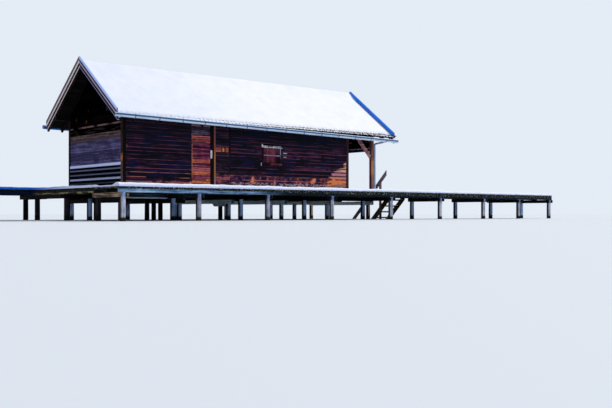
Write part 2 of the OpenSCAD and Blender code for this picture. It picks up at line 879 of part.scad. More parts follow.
walkway_piles();
side_deck_piles();
boathouse_piles();
walkway_clamps();
side_deck_clamps();
boathouse_crossheads();
walkway_stringers();
side_deck_stringers();
walkway_deck();
gable_and_porch_decks();
access_pier_deck();
floor_bearers();
floor_joists();
floor();
sill_beams();
corner_posts();
wall_posts();
front_wall_left();
front_wall_over_door();
front_wall_side_panel();
front_wall_right();
back_wall();
left_gable_wall();
left_gable_weatherboards();
left_gable_triangle();
right_end_wall();
porch_gable();
tie_beams();
wall_plates();
porch_braces();
rafters();
roof_front_slope();
roof_back_slope();
barge_boards();
verge_flashings();
gutters();
downpipe();
front_door();
door_ironwork();
door_pintles();
window_frame();
window_shutter();
stair_stringers();
stair_treads();
stair_handrail();
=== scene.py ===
import math
import random

import bmesh
import bpy
from mathutils import Matrix, Vector, noise


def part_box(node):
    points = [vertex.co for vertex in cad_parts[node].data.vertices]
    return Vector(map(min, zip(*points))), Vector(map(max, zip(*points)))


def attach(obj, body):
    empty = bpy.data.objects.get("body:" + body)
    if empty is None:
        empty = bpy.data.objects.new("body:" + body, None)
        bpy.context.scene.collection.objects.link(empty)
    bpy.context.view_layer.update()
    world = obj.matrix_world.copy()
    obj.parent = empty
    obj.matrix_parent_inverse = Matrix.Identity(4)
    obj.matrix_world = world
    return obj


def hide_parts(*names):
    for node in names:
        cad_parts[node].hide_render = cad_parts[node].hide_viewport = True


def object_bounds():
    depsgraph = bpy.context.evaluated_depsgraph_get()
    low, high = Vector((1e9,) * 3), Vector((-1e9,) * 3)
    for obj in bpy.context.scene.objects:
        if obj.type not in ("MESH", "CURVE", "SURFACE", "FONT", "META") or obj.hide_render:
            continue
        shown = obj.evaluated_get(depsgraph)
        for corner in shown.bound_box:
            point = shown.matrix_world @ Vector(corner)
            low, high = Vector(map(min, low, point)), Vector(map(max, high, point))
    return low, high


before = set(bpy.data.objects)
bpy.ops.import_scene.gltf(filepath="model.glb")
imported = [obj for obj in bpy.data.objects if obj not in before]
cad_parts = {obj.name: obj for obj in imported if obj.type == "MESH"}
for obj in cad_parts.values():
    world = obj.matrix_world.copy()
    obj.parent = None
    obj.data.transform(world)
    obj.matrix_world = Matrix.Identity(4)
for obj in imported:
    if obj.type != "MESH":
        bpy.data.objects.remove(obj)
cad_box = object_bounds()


# Viewpoint: low over the water off the left end of the walkway, level, with the horizon a
# little under the middle of a frame that is 612 pixels wide.
frame_wide = 612
look_x, look_y = 0.6585, 0.7526
scene = bpy.context.scene
scene.view_settings.view_transform = "Standard"
shore = bpy.data.cameras.new("shore_view")
shore.lens = 50.0
shore.sensor_width = 36.0
shore.shift_y = 9.5 / frame_wide
shore.clip_end = 600.0
camera = bpy.data.objects.new("shore_view", shore)
camera.location = (-23.18, -28.89, 0.256)
camera.rotation_euler = (math.radians(90), 0.0, -math.atan2(look_x, look_y))
scene.collection.objects.link(camera)
scene.camera = camera


# Studio: a pale floor at the foot of the piles, an even white sky and one broad key lamp on
# the right, high over the stair end of the walkway.
def add(tree, kind, links=(), out=0, **settings):
    """Adds a node with its settings and its inputs, by name or in order, and gives one output."""
    node = tree.nodes.new("ShaderNode" + kind)
    for name, value in settings.items():
        setattr(node, name, value)
    for name, value in (links if isinstance(links, dict) else dict(enumerate(links))).items():
        if isinstance(value, bpy.types.NodeSocket):
            tree.links.new(value, node.inputs[name])
        else:
            node.inputs[name].default_value = value
    return node.outputs[out] if node.outputs else node


def colour(code):
    """An sRGB hex colour as linear numbers."""
    parts = [int(code[i:i + 2], 16) / 255 for i in (1, 3, 5)]
    return tuple(p / 12.92 if p <= 0.04045 else ((p + 0.055) / 1.055) ** 2.4 for p in parts) + (1.0,)


class Finish:
    """A material while its coats go on: its nodes, its shader's sockets and its colour so far."""

    def __init__(self, name, **sockets):
        self.material = bpy.data.materials.new(name)
        self.material.use_nodes = True
        self.tree = self.material.node_tree
        self.shader = self.tree.nodes["Principled BSDF"].inputs
        for socket, value in sockets.items():
            self.shader[socket.replace("_", " ")].default_value = value
        self.place = self.add("TexCoord", out="Object")
        self.at = self.add("SeparateXYZ", (self.place,)).node.outputs

    def add(self, *given, **settings):
        return add(self.tree, *given, **settings)

    def feed(self, **sockets):
        """Links what nodes give to the shader."""
        for socket, value in sockets.items():
            self.tree.links.new(value, self.shader[socket.replace("_", " ")])

    def facing(self, axis):
        """How far a face looks along an axis."""
        return self.add("SeparateXYZ", (self.add("NewGeometry", out="Normal"),), axis)

    def noise(self, x, y, z, detail=2.0, of=None):
        """Noise drawn out by a scale of its own along each axis."""
        way = self.add("Mapping", {"Vector": of or self.place, "Scale": (x, y, z)})
        return self.add("TexNoise", {"Vector": way, "Scale": 1.0, "Detail": detail, "Roughness": 0.6})

    def value(self, what):
        """A coordinate by its letter, a noise by its scales and detail, or what is given."""
        if isinstance(what, str):
            return self.at[what]
        return self.noise(*what) if isinstance(what, tuple) else what

    def total(self, start, *parts):
        """A value with others added to it, each a (value, share) pair."""
        for part, share in parts:
            start = self.add("Math", (self.value(part), share, self.value(start)), operation="MULTIPLY_ADD")
        return start

    def share(self, *reaches):
        """How far all the reaches hold. Each is a share, or a value, where it is none and where full."""
        whole = None
        for reach in reaches:
            if isinstance(reach, tuple):
                value, none, full = reach
                reach = self.add("MapRange", {"Value": self.value(value), "From Min": none, "From Max": full},
                                 interpolation_type="SMOOTHSTEP")
            if whole is not None:
                reach = self.add("Math", (whole, reach), operation="MULTIPLY", use_clamp=True)
            whole = reach
        return whole

    def shades(self, value, low, high, *stops, kind="LINEAR"):
        """Colours along a value that runs from low to high, as (value, colour) pairs."""
        level = self.add("MapRange", {"Value": value, "From Min": low, "From Max": high})
        ramp = self.add("ValToRGB", (level,))
        bands = ramp.node.color_ramp
        bands.interpolation = kind
        bands.elements.remove(bands.elements[1])
        bands.elements[0].position = (stops[0][0] - low) / (high - low)
        bands.elements[0].color = colour(stops[0][1])
        for at, code in stops[1:]:
            bands.elements.new((at - low) / (high - low)).color = colour(code)
        return ramp

    def build(self, under, *coats, kind="MIX"):
        """A colour with others over it, each with the reaches that it keeps to."""
        for tint, *reaches in coats:
            under, tint = [colour(c) if isinstance(c, str) else c for c in (under, tint)]
            under = self.add("Mix", {"Factor": self.share(*reaches), 6: under, 7: tint}, 2,
                             data_type="RGBA", blend_type=kind)
        return under

    def lay(self, tint, *reaches, kind="MIX"):
        """Lays one more colour over the finish."""
        so_far = self.shader["Base Color"].links[0].from_socket
        self.feed(Base_Color=self.build(so_far, (tint, *reaches), kind=kind))


world = bpy.data.worlds.new("studio")
scene.world = world
world.use_nodes = True
sky = world.node_tree
sky.nodes.clear()
ray = add(sky, "LightPath").node.outputs
seen = add(sky, "Math", (ray["Is Camera Ray"], ray["Is Glossy Ray"]), operation="MAXIMUM")
glow = add(sky, "Background", (colour("#EAF0FB"), 0.62))
backdrop = add(sky, "Background", (colour("#E4ECF6"), 1.0))
add(sky, "OutputWorld", (add(sky, "MixShader", (seen, glow, backdrop)),))

key = bpy.data.lights.new("key", "SUN")
key.energy = 2.6
key.angle = math.radians(9)
key.color = (1.0, 0.97, 0.93)
key_lamp = bpy.data.objects.new("key", key)
key_lamp.rotation_euler = Vector((0.762, -0.186, 0.619)).to_track_quat("Z", "Y").to_euler()
scene.collection.objects.link(key_lamp)

floor_mesh = bpy.data.meshes.new("studio_floor")
bm = bmesh.new()
bmesh.ops.create_grid(bm, x_segments=1, y_segments=1, size=300.0,
                      matrix=Matrix.Translation((0.0, 0.0, cad_box[0][2] - 0.002)))
bm.to_mesh(floor_mesh)
bm.free()
studio_floor = bpy.data.objects.new("studio_floor", floor_mesh)
floor_paint = Finish("matt_floor_paint", Base_Color=colour("#D9DFE6"), Roughness=0.9)
floor_mesh.materials.append(floor_paint.material)
scene.collection.objects.link(studio_floor)


# Piles: round larch trunks driven into the lake bed, each a little uneven, dark and slimy
# where they stand in the water and bleached blue-grey where the weather reaches them.
def piece(name, bm, node, slot_name, *finishes, body="boathouse", smooth=False):
    """Makes a finished object of a bmesh, fixed to its CAD body, and hides the CAD node it is drawn in place
    of.
    """
    mesh = bpy.data.meshes.new(name)
    bm.to_mesh(mesh)
    bm.free()
    for finish in finishes:
        mesh.materials.append(finish.material)
    if smooth:
        mesh.shade_smooth()
    made = bpy.data.objects.new(name, mesh)
    scene.collection.objects.link(made)
    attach(made, body)
    if node:
        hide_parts(node)


def solids_of(node):
    """The separate solids of a CAD node, each as a merged bmesh of its own."""
    whole = bmesh.new()
    whole.from_mesh(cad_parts[node].data)
    bmesh.ops.remove_doubles(whole, verts=whole.verts, dist=0.00002)
    left = set(whole.verts)
    groups = []
    while left:
        group, fresh = set(), {left.pop()}
        while fresh:
            group |= fresh
            left -= fresh
            fresh = {w for v in fresh for edge in v.link_edges for w in edge.verts} & left
        groups.append(group)
    groups.sort(key=lambda group: [round(min(v.co[i] for v in group), 3) for i in range(3)])
    solids = []
    for group in groups:
        kept = {v.index for v in group}
        single = whole.copy()
        others = [v for v in single.verts if v.index not in kept]
        bmesh.ops.delete(single, geom=others, context="VERTS")
        solids.append(single)
    whole.free()
    return solids


def extent(solid):
    """The lowest and the highest corner of a solid."""
    return [Vector([end(v.co[i] for v in solid.verts) for i in range(3)]) for end in (min, max)]


def timber_mesh(solid=None):
    """An empty bmesh, or the one given, with room for what its timbers' finish needs."""
    bm = solid or bmesh.new()
    bm.verts.layers.float_vector.new("grain")
    bm.verts.layers.float.new("tone")
    bm.verts.layers.float.new("up")
    return bm


def axes_from(along):
    """The axis that a timber runs along, then the two across it."""
    order = [along] + [i for i in range(3) if i != along]
    return [Vector([float(i == k) for i in range(3)]) for k in order]


def mark_grain(bm, verts, axes, tone, rng):
    """Writes the timber's own lengthwise coordinates and its tone on the vertices."""
    grain = bm.verts.layers.float_vector["grain"]
    shade = bm.verts.layers.float["tone"]
    shift = Vector([rng.uniform(0, 50) for i in range(3)])
    for v in verts:
        v[grain] = Vector([axis.dot(v.co) for axis in axes]) + shift
        v[shade] = tone


def timber(name, dark, mid, light, streak=0.045, patch=0.5, contrast=1.9, rough=0.8, deep=None,
           low=None, along=None, side=None, wet=None, rim=None, frost=None):
    """Rough-sawn timber: streaks along the grain, patches of weather, and what lies on it."""
    wood = Finish(name, IOR=1.5, Specular_IOR_Level=0.08)
    grain = wood.add("Attribute", out="Vector", attribute_name="grain")
    tone, up = [wood.add("Attribute", out="Fac", attribute_name=name) for name in ("tone", "up")]
    # growth rings drawn out along the board, fine fibres, and weather in patches
    streaks = wood.noise(0.9, 1 / streak, 1 / streak, 3.0, grain)
    fibres = wood.noise(7.0, 150.0, 150.0, of=grain)
    patches = wood.noise(1 / patch, 1 / patch, 1.6 / patch)
    mixed = wood.total(-contrast / 2, (streaks, contrast), (tone, 0.75), (patches, 0.8))
    wood.feed(Base_Color=wood.shades(mixed, 0.28, 1.28, (0.28, dark), (0.78, mid), (1.28, light)))
    if deep:
        # the stain has kept in wide patches and streaks
        stain, share = deep
        edge = 0.66 - 0.3 * share
        wood.lay(stain, ((1.6, 1.6, 2.8, 3.0), edge, edge + 0.08))
    if low:
        # boards near the deck, washed and bared in patches by splashing water
        bare, fresh, z_full, z_none, share = low
        edge = 0.84 - 0.16 * share
        reach = wood.share(("Z", z_none, z_full))
        washed = wood.total((3.2, 3.2, 4.6, 3.0), (streaks, 0.5))
        wood.lay(bare, reach, (washed, edge, edge + 0.06))
        wood.lay(fresh, reach, (washed, edge + 0.06, edge + 0.14))
    if along:
        # darker and greener beyond a given X; on the bearers under the house and on the shutter beside its
        # trim this is painted shade
        other, x_none, x_full = along
        wood.lay(other, ("X", x_none, x_full), kind="MULTIPLY")
    if side:
        # painted light or shade: another colour on the faces that look one way
        axis, none, full, bare = side
        wood.lay(bare, (wood.facing(axis), none, full), (streaks, 0.3, 0.42))
    if wet:
        # wet and slimy from the water's surface up
        slime, z_top = wet
        wood.lay(slime, (wood.total("Z", (patches, -0.12)), z_top, z_top * 0.35))
    if rim:
        # a pale lower edge, partly wear and partly a painted highlight, and painted shade at the board's top
        # under the one that laps over and along its foot
        pale, share = rim
        where = wood.total(wood.noise(0.9, 0.0, 0.0, 3.0, grain), (tone, 0.35))
        wood.lay(pale, (up, 0.24, 0.12), (where, 0.78 - 0.4 * share, 1.0 - 0.4 * share))
        wood.lay("#08060A", (up, 0.78, 0.98))
        wood.lay("#08060A", (up, 0.07, 0.02))
    if frost:
        # hoarfrost that settles on what faces the sky
        white, share = frost
        edge = 0.62 - 0.3 * share
        wood.lay(white, (wood.facing("Z"), 0.45, 0.8), ((55.0, 55.0, 55.0), edge, edge + 0.08))
    height = wood.total(fibres, (streaks, 1.5))
    dull = wood.add("MapRange", {"Value": fibres, "To Min": rough - 0.12, "To Max": rough + 0.12})
    raised = wood.add("Bump", {"Strength": 0.35, "Distance": 0.006, "Height": height})
    wood.feed(Roughness=dull, Normal=raised)
    return wood


def trunk(bm, low, high, tone, rng, wood):
    """One driven pile: slightly tapered, wavy, and flat where it was sawn off."""
    radius = (high.x - low.x) / 2
    centre = (low + high) / 2
    first_vert, first_face = len(bm.verts), len(bm.faces)
    made = bmesh.ops.create_cone(bm, cap_ends=True, segments=18, radius1=radius, radius2=radius * 0.96,
                                 depth=high.z - low.z, matrix=Matrix.Translation(centre))
    sides = {e for v in made["verts"] for e in v.link_edges if abs(e.verts[0].co.z - e.verts[1].co.z) > 0.01}
    bmesh.ops.subdivide_edges(bm, edges=list(sides), cuts=7)
    bm.verts.ensure_lookup_table()
    bm.faces.ensure_lookup_table()
    verts = bm.verts[first_vert:]
    for v in verts:
        out = Vector((v.co.x - centre.x, v.co.y - centre.y, 0.0))
        wave = noise.noise(Vector((out.x * 9 + centre.x, out.y * 9 + centre.y, v.co.z * 1.7)))
        v.co -= out * (0.005 + 0.05 * max(0.0, wave))
    for face in bm.faces[first_face:]:
        face.material_index = wood
    mark_grain(bm, verts, axes_from(2), tone, rng)


# painted shade: all pile woods but the near-black one paint the faces that do not look to the front dark, and
# the near-black wood is painted shade for piles deep under the decks
bleached_wood = timber("bleached_pile_wood", "#3A3434", "#7E8296", "#D0D6EA", rough=0.75,
                       wet=("#24221A", 0.12), side=("Y", -0.6, -0.4, "#2E211C"))
bleached_wood.lay("#B0D2FF", ("Z", 0.72, 0.9), kind="MULTIPLY")
pile_woods = [
    bleached_wood,
    timber("grey_pile_wood", "#34445E", "#90AEE0", "#C4D6F8", rough=0.75,
           wet=("#14161A", 0.16), side=("Y", -0.65, -0.5, "#0B0807")),
    timber("wave_lit_pile_wood", "#4A6080", "#B0CCFA", "#DCE8FF", rough=0.75,
           wet=("#1A2028", 0.16), side=("Y", -0.7, -0.55, "#0B0807")),
    timber("shade_black_pile_wood", "#060506", "#121016", "#2E2A34", rough=0.7, wet=("#0B0A0A", 0.2)),
    timber("beige_pile_wood", "#5A4A44", "#A8968E", "#D8C8BE", rough=0.75,
           wet=("#24221A", 0.16), side=("Y", -0.8, -0.65, "#1C120E"))]
bleached, grey, wave_lit, shade_black, beige = range(5)
walk_middle = (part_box("walkway_piles")[0].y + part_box("walkway_piles")[1].y) / 2
walk_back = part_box("walkway_deck")[1].y
gable_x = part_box("left_gable_wall")[0].x
ridge_y = (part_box("rafters")[0].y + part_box("rafters")[1].y) / 2


def pile_look(middle):
    """Which of the pile woods, and its tone, by where a pile stands."""
    if middle.y < walk_middle:
        return bleached, 0.6 if -7.0 < middle.x < -2.5 else 0.8
    if middle.y < walk_back:
        return grey if middle.x > -9.0 else shade_black, 0.6
    if middle.x > 4.0:
        return beige, 0.6
    if middle.x < gable_x and middle.y < 1.0:
        return (grey, 0.75) if middle.x > -9.0 else (shade_black, 0.9)
    if middle.x < gable_x:
        return shade_black, 0.6
    return (shade_black, 0.3) if abs(middle.y - ridge_y) < 0.3 else (wave_lit, 0.6)


for node in ("walkway_piles", "side_deck_piles", "boathouse_piles"):
    rng = random.Random(node)
    bm = timber_mesh()
    for solid in solids_of(node):
        low, high = extent(solid)
        solid.free()
        wood, tone = pile_look((low + high) / 2)
        trunk(bm, low, high, tone + rng.uniform(-0.15, 0.15), rng, wood)
    piece(node + "_trunks", bm, node, "pile_timber", *pile_woods)


# Sawn timbers of the base: larch planks that clamp the pile heads, stringers, crossheads,
# bearers, joists and sills, bolted or spiked together. Each has its arrises eased by hand.
def ease_edges(bm, edges, offset):
    """Takes the sharp arrises off, as with a plane."""
    return bmesh.ops.bevel(bm, geom=edges, offset=offset, segments=1, profile=0.5, affect="EDGES",
                           material=-1, clamp_overlap=True)


def sawn(name, node, slot_name, *woods, ease=0.006, slope=None, pick=lambda middle, normal: 0):
    """A timber node with eased arrises and grain that runs along each of its solids.
    pick chooses one of the woods by a solid's middle and a face's normal."""
    rng = random.Random(node)
    whole = bmesh.new()
    for solid in solids_of(node):
        timber_mesh(solid)
        bmesh.ops.dissolve_limit(solid, angle_limit=0.02, verts=solid.verts, edges=solid.edges)
        low, high = extent(solid)
        middle, size = (low + high) / 2, high - low
        axes = axes_from(max(range(3), key=lambda i: size[i]))
        if slope:
            run = Vector((0, math.copysign(math.cos(slope), ridge_y - middle.y), math.sin(slope)))
            axes = (run, Vector((1, 0, 0)), run.cross(Vector((1, 0, 0))))
        sharp = [e for e in solid.edges if len(e.link_faces) == 2 and e.calc_face_angle() > 0.35]
        ease_edges(solid, sharp, ease)
        mark_grain(solid, solid.verts, axes, rng.uniform(0.2, 0.8), rng)
        solid.normal_update()
        for face in solid.faces:
            face.material_index = pick(middle, face.normal)
        one = bpy.data.meshes.new("one")
        solid.to_mesh(one)
        solid.free()
        whole.from_mesh(one)
        bpy.data.meshes.remove(one)
    piece(name, whole, node, slot_name, *woods)


def mossy_above(made, z_left, z_right, dark, moss, white):
    """Algae, dirt and clumps of frost above a line that sinks to the right, or below one that climbs."""
    line = made.add("MapRange", {"Value": made.at["X"], "From Min": -6.0, "From Max": 4.0,
                                 "To Min": z_left, "To Max": z_right})
    level = made.total("Z", (line, -1), ((16.0, 16.0, 6.0), 0.05))
    growth = made.build(dark, (moss, ((24.0, 24.0, 30.0), 0.55, 0.66)),
                        (white, ((33.0, 33.0, 20.0), 0.6, 0.68)))
    made.lay(growth, (level, 0.02, 0.03) if z_left > z_right else (level, 0.03, 0.02))
    return made


# weathered blue-grey larch at the front, wet and mossy towards the pier, near black in the shade
front_edge_wood = mossy_above(
    timber("frosted_larch", "#2E4A6C", "#7A9EC4", "#B8D2EA", patch=0.25, contrast=2.2,
           along=("#1C2C36", -4.4, -2.2), frost=("#E9EEF8", 0.6)),
    1.08, 1.03, "#0C100C", "#6E6A24", "#A8BCDC")
# painted shade: the timbers under the deck are near black
under_deck_wood = timber("shade_darkened_spruce", "#0B0A0B", "#1F1F26", "#56657C", patch=0.6, frost=("#D9E0EE", 0.2))
# painted shade on the bearers beyond x -6.2, under the house, and a painted highlight from the water along
# their foot further left
bearer_wood = timber("wave_lit_spruce", "#0A0F14", "#1A2630", "#465A6C", along=("#202024", -6.8, -6.2))
bearer_wood.lay("#C8D8E8", ("Z", 0.845, 0.83), ("X", -6.2, -6.6))
# painted light: the crossheads' faces that look to the left are pale, as lit
crosshead_wood = timber("crosshead_spruce", "#12202A", "#3A5C74", "#7EA4BC", patch=0.4,
                        side=("X", -0.4, -0.8, "#D4E4EE"))
pier_wood = timber("mossy_larch", "#0C0B08", "#332D1C", "#857A50", patch=0.4, frost=("#D9E0EE", 0.2))
pier_wood.lay("#A89C6C", ("Z", 1.03, 1.015), ((1.4, 1.4, 9.0), 0.42, 0.56))
# painted shade: the pier's timber is darker and bluer beyond x -9.3, in full shade
pier_wood.lay("#0C1A34", ("X", -9.3, -9.8))
soffit_beam_wood = timber("shaded_spruce", "#030203", "#090607", "#1C1416", patch=0.6)
frame_wood = timber("stained_spruce", "#140C12", "#36202A", "#7E5054", patch=0.6)
plank_wood = timber("clamp_plank_larch", "#08090C", "#1C222A", "#5C6C80",
                    along=("#505050", -7.0, -4.5), frost=("#E9EEF8", 0.5))
beige_wood = timber("beige_mossy_larch", "#0E0B08", "#4A3C2C", "#B8A088", streak=0.02, patch=0.4,
                    contrast=2.6)
stringers_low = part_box("walkway_stringers")[0]
sawn("clamped_planks", "walkway_clamps", "deck_timber", plank_wood, beige_wood,
     pick=lambda middle, normal: int(middle.x < stringers_low.x + 1))
sawn("side_clamped_planks", "side_deck_clamps", "deck_timber", soffit_beam_wood)
sawn("walkway_stringer_beams", "walkway_stringers", "deck_timber", front_edge_wood, under_deck_wood,
     pick=lambda middle, normal: int(middle.y >= stringers_low.y + 0.2))
sawn("side_stringer_beams", "side_deck_stringers", "deck_timber", pier_wood)
sawn("crosshead_beams", "boathouse_crossheads", "frame_timber", crosshead_wood, under_deck_wood, ease=0.01,
     pick=lambda middle, normal: int(middle.x < -5.0))
sawn("bearer_beams", "floor_bearers", "frame_timber", bearer_wood, under_deck_wood, ease=0.008,
     pick=lambda middle, normal: int(middle.y >= -1.5))
sawn("joist_beams", "floor_joists", "frame_timber", under_deck_wood)
sawn("sill_timbers", "sill_beams", "frame_timber", frame_wood, ease=0.008)


# Corner and porch posts: squared spruce, tenoned into the sills, stained black and bared by the
# weather from the foot up, most of all on the corner posts' faces that look to the left, which are
# also painted lighter as lit. The porch posts' fronts are painted orange as sunlit, their left faces
# darker as shaded.
def tint_by_height(wood, share, *stops):
    """Weather that changes with height: (height, colour) pairs from low to high, over a finish."""
    level = wood.total("Z", ((6.0, 6.0, 1.5), 0.3), (1.0, -0.15))
    wood.lay(wood.shades(level, stops[0][0], stops[-1][0], *stops), share)
    return wood


post_woods = [
    timber("black_corner_post", "#030203", "#0A0708", "#1E1512", patch=0.4),
    tint_by_height(
        timber("bared_and_lit_post_side", "#120A08", "#3A2418", "#7A5434", patch=0.4), 0.72, (1.2, "#66708E"),
        (1.36, "#6A5260"), (1.9, "#64483E"), (2.08, "#7A4A2E"), (2.2, "#D08242"), (2.34, "#9A5A2C"),
        (2.46, "#20120C"), (2.85, "#3E2214"), (3.1, "#140A08"), (3.85, "#080506")),
    timber("rust_spotted_post", "#060405", "#24100F", "#6A301C", patch=0.25),
    tint_by_height(
        timber("shaded_brown_porch_post_side", "#1A0E12", "#4A2C2C", "#8A5854", patch=0.4), 0.7, (1.16, "#141420"),
        (1.9, "#1C141E"), (2.05, "#6E3834"), (2.7, "#603838"), (3.3, "#4A3034"), (3.85, "#5A3634")),
    tint_by_height(
        timber("sunlit_orange_porch_post_front", "#3A2428", "#7A4C40", "#C08A6A", patch=0.4), 0.65,
        (1.16, "#5C5678"), (1.45, "#6C5262"), (1.9, "#84583E"), (2.12, "#AC8450"), (2.58, "#B46C44"),
        (2.74, "#6A3A38"), (3.2, "#5A3A3C"), (3.85, "#A07270")),
    frame_wood]
house_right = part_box("right_end_wall")[1].x
posts_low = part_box("corner_posts")[0]


def post_pick(middle, normal):
    """Which of the post woods a face takes, by where its post stands and which way it looks."""
    if middle.x > house_right:
        return 3 if normal.x < -0.5 else 4
    if middle.x > posts_low.x + 1:
        return 5
    if middle.y > posts_low.y + 1:
        return 2
    return 1 if normal.x < -0.5 else 0


sawn("corner_post_timbers", "corner_posts", "frame_timber", *post_woods, pick=post_pick)


# Tie beams, wall plates and porch braces: heavier spruce, halved and pegged. The porch tie has
# a pale line along its upper edge, and the braces are lit pink from below.
gable_tie_wood = timber("brown_tie_beam", "#181012", "#423234", "#86706A", patch=0.4)
porch_tie_wood = timber("navy_porch_tie_beam", "#0C0822", "#1C1444", "#342C64")
porch_tie_wood.lay("#B8B0C4", ("Z", 3.18, 3.19))
brace_wood = timber("pink_lit_brace", "#3A2230", "#7E5458", "#DCA8A2", patch=0.3)
gable_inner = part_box("left_gable_wall")[1].x
sawn("tie_beam_timbers", "tie_beams", "frame_timber", soffit_beam_wood, gable_tie_wood, porch_tie_wood,
     ease=0.008, pick=lambda middle, normal: 1 if middle.x < gable_inner + 0.2 else 2 * (middle.x > 4.0))
sawn("wall_plate_timbers", "wall_plates", "frame_timber", soffit_beam_wood, ease=0.008)
sawn("brace_timbers", "porch_braces", "frame_timber", brace_wood, ease=0.008)


# Rafters: spruce, birdsmouthed over the plates and cut plumb at ridge and tail. The pair at the
# left verge shows a pale line near its foot, a painted highlight, with painted shade beside it.
pitch = math.radians(37.5)


def line_the_slope(made, share, *slopes):
    """Lines along the left verge: (drop below the ridge line, colour) pairs, for front and back slope."""
    out = made.add("Math", (made.total("Y", (1.0, -ridge_y)),), operation="ABSOLUTE")
    level = made.total("Z", (out, math.tan(pitch)))
    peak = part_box("verge_flashings")[1].z
    front, back = [made.shades(level, peak - 0.5, peak, *[(peak - drop, code) for drop, code in stops],
                               kind="CONSTANT") for stops in slopes]
    lines = made.build(front, (back, ("Y", ridge_y - 0.01, ridge_y + 0.01)))
    made.lay(lines, ("X", 0.5, -0.5), share)
    return made


verge_rafter_wood = line_the_slope(
    timber("lit_edge_rafter", "#160E12", "#3E2C30", "#8A7070"), 0.85,
    ((0.5, "#9C90B8"), (0.405, "#1E1630")), ((0.5, "#040304"), (0.385, "#F4DEDC"), (0.33, "#060506")))
rafters_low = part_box("rafters")[0]
sawn("rafter_timbers", "rafters", "frame_timber", soffit_beam_wood, verge_rafter_wood, slope=pitch,
     pick=lambda middle, normal: int(middle.x < rafters_low.x + 0.1))


# Stair to the water: larch planks with housed treads, wet and almost black, and a rail of grey
# spruce on one post, browner near the water.
stair_wood = timber("stair_larch", "#0F0C0A", "#3A3222", "#8A7448", patch=0.4, frost=("#E4EAF6", 0.9))
tread_wood = timber("wet_stair_tread", "#040304", "#0C0A0A", "#241E18", patch=0.4)
rail_wood = tint_by_height(timber("grey_rail_spruce", "#221A20", "#786C78", "#B8ACBC", patch=0.4), 0.55,
                           (0.0, "#2A2018"), (1.1, "#4A3C36"), (1.5, "#7A6C76"), (2.4, "#8A7E8A"))
sawn("stair_side_planks", "stair_stringers", "frame_timber", stair_wood)
sawn("stair_rail_timbers", "stair_handrail", "frame_timber", rail_wood)
sawn("stair_tread_planks", "stair_treads", "deck_timber", tread_wood)


# Wall posts: the latch post beside the door is newer, orange larch, with a dark rebate where the
# door closes on it; the others are the same timber and stand inside.
latch_wood = tint_by_height(
    timber("orange_larch_post", "#4A2A20", "#8E5636", "#D8A468", streak=0.03, rough=0.7), 0.75,
    (1.2, "#C8A0A4"), (1.5, "#C09098"), (1.75, "#B88458"), (2.25, "#C08650"), (2.4, "#E4844A"),
    (2.62, "#D87448"), (2.8, "#945864"), (3.85, "#7E5460"))
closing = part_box("front_wall_over_door")[1].x + 0.03
latch_wood.lay("#5A2A12", ("X", closing + 0.01, closing - 0.01))
sawn("wall_post_timbers", "wall_posts", "frame_timber", latch_wood)


# Deck boards: sawn larch laid across the walkway with drainage gaps, nailed to the stringers,
# their ends left as they came and green-black with algae. The room has a floor of worn brown
# spruce, laid close.
def lay_board(bm, low, high, along, tone, rng, ease=0.004, tilt=None, wood=0):
    """One board between two corners, arrises eased, grain along the given axis."""
    low, high = Vector(low), Vector(high)
    centre, size = (low + high) / 2, high - low
    place = Matrix.Translation(centre) @ Matrix.Diagonal(size.to_4d())
    made = bmesh.ops.create_cube(bm, size=1.0, matrix=place)
    edges = list({e for v in made["verts"] for e in v.link_edges})
    verts = ease_edges(bm, edges, min(ease, min(size) * 0.3))["verts"]
    mark_grain(bm, verts, axes_from(along), tone, rng)
    height = bm.verts.layers.float["up"]
    for v in verts:
        v[height] = (v.co.z - low.z) / size.z
    for face in {f for v in verts for f in v.link_faces}:
        face.material_index = wood
    if tilt:
        bmesh.ops.rotate(bm, verts=verts, cent=centre, matrix=tilt)
    return verts


def floor_boards(name, node, areas, across, wood, seed, wide=0.15, gap=0.012, slot_name="deck_timber"):
    """Boards side by side over flat areas; across is the axis along which they lie."""
    rng = random.Random(seed)
    bm = timber_mesh()
    step = 1 - across
    for low, high in areas:
        count = max(1, round((high[step] - low[step]) / wide))
        width = (high[step] - low[step]) / count
        for i in range(count):
            start, end = Vector(low), Vector(high)
            start[step] = low[step] + i * width + gap / 2
            end[step] = start[step] + width - gap
            start[across] += rng.uniform(0, 0.012)
            end[across] -= rng.uniform(0, 0.012)
            end[2] -= rng.uniform(0, 0.006)
            lay_board(bm, start, end, across, rng.uniform(0.0, 1.0), rng)
    piece(name, bm, node, slot_name, wood)


deck_wood = mossy_above(
    timber("algae_grown_larch", "#050604", "#141810", "#5E5C28", patch=0.35, contrast=2.4, rough=0.85,
           frost=("#EEF2FA", 0.9)), 1.11, 1.09, "#10161A", "#7A7430", "#B4C4E2")
side_deck_wood = mossy_above(
    timber("black_algae_larch", "#020202", "#08090A", "#2A2A18", patch=0.35, contrast=2.4, rough=0.85,
           frost=("#EEF2FA", 0.9)), 1.135, 1.115, "#04060A", "#3C3A1C", "#8C9CC4")
room_wood = timber("worn_spruce_floor", "#3A2A22", "#7A604C", "#B0957A", streak=0.03, patch=0.9, rough=0.7)
ends = [extent(solid) for solid in solids_of("gable_and_porch_decks")]
pier_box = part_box("access_pier_deck")
floor_boards("walkway_deck_boards", "walkway_deck", [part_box("walkway_deck")], 1, deck_wood, 11)
floor_boards("access_pier_boards", "access_pier_deck", [pier_box], 1, side_deck_wood, 12)
floor_boards("gable_and_porch_boards", "gable_and_porch_decks", ends, 0, side_deck_wood, 13)
floor_boards("room_floor_boards", "floor", [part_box("floor")], 0, room_wood, 14, 0.18, 0.004, "frame_timber")


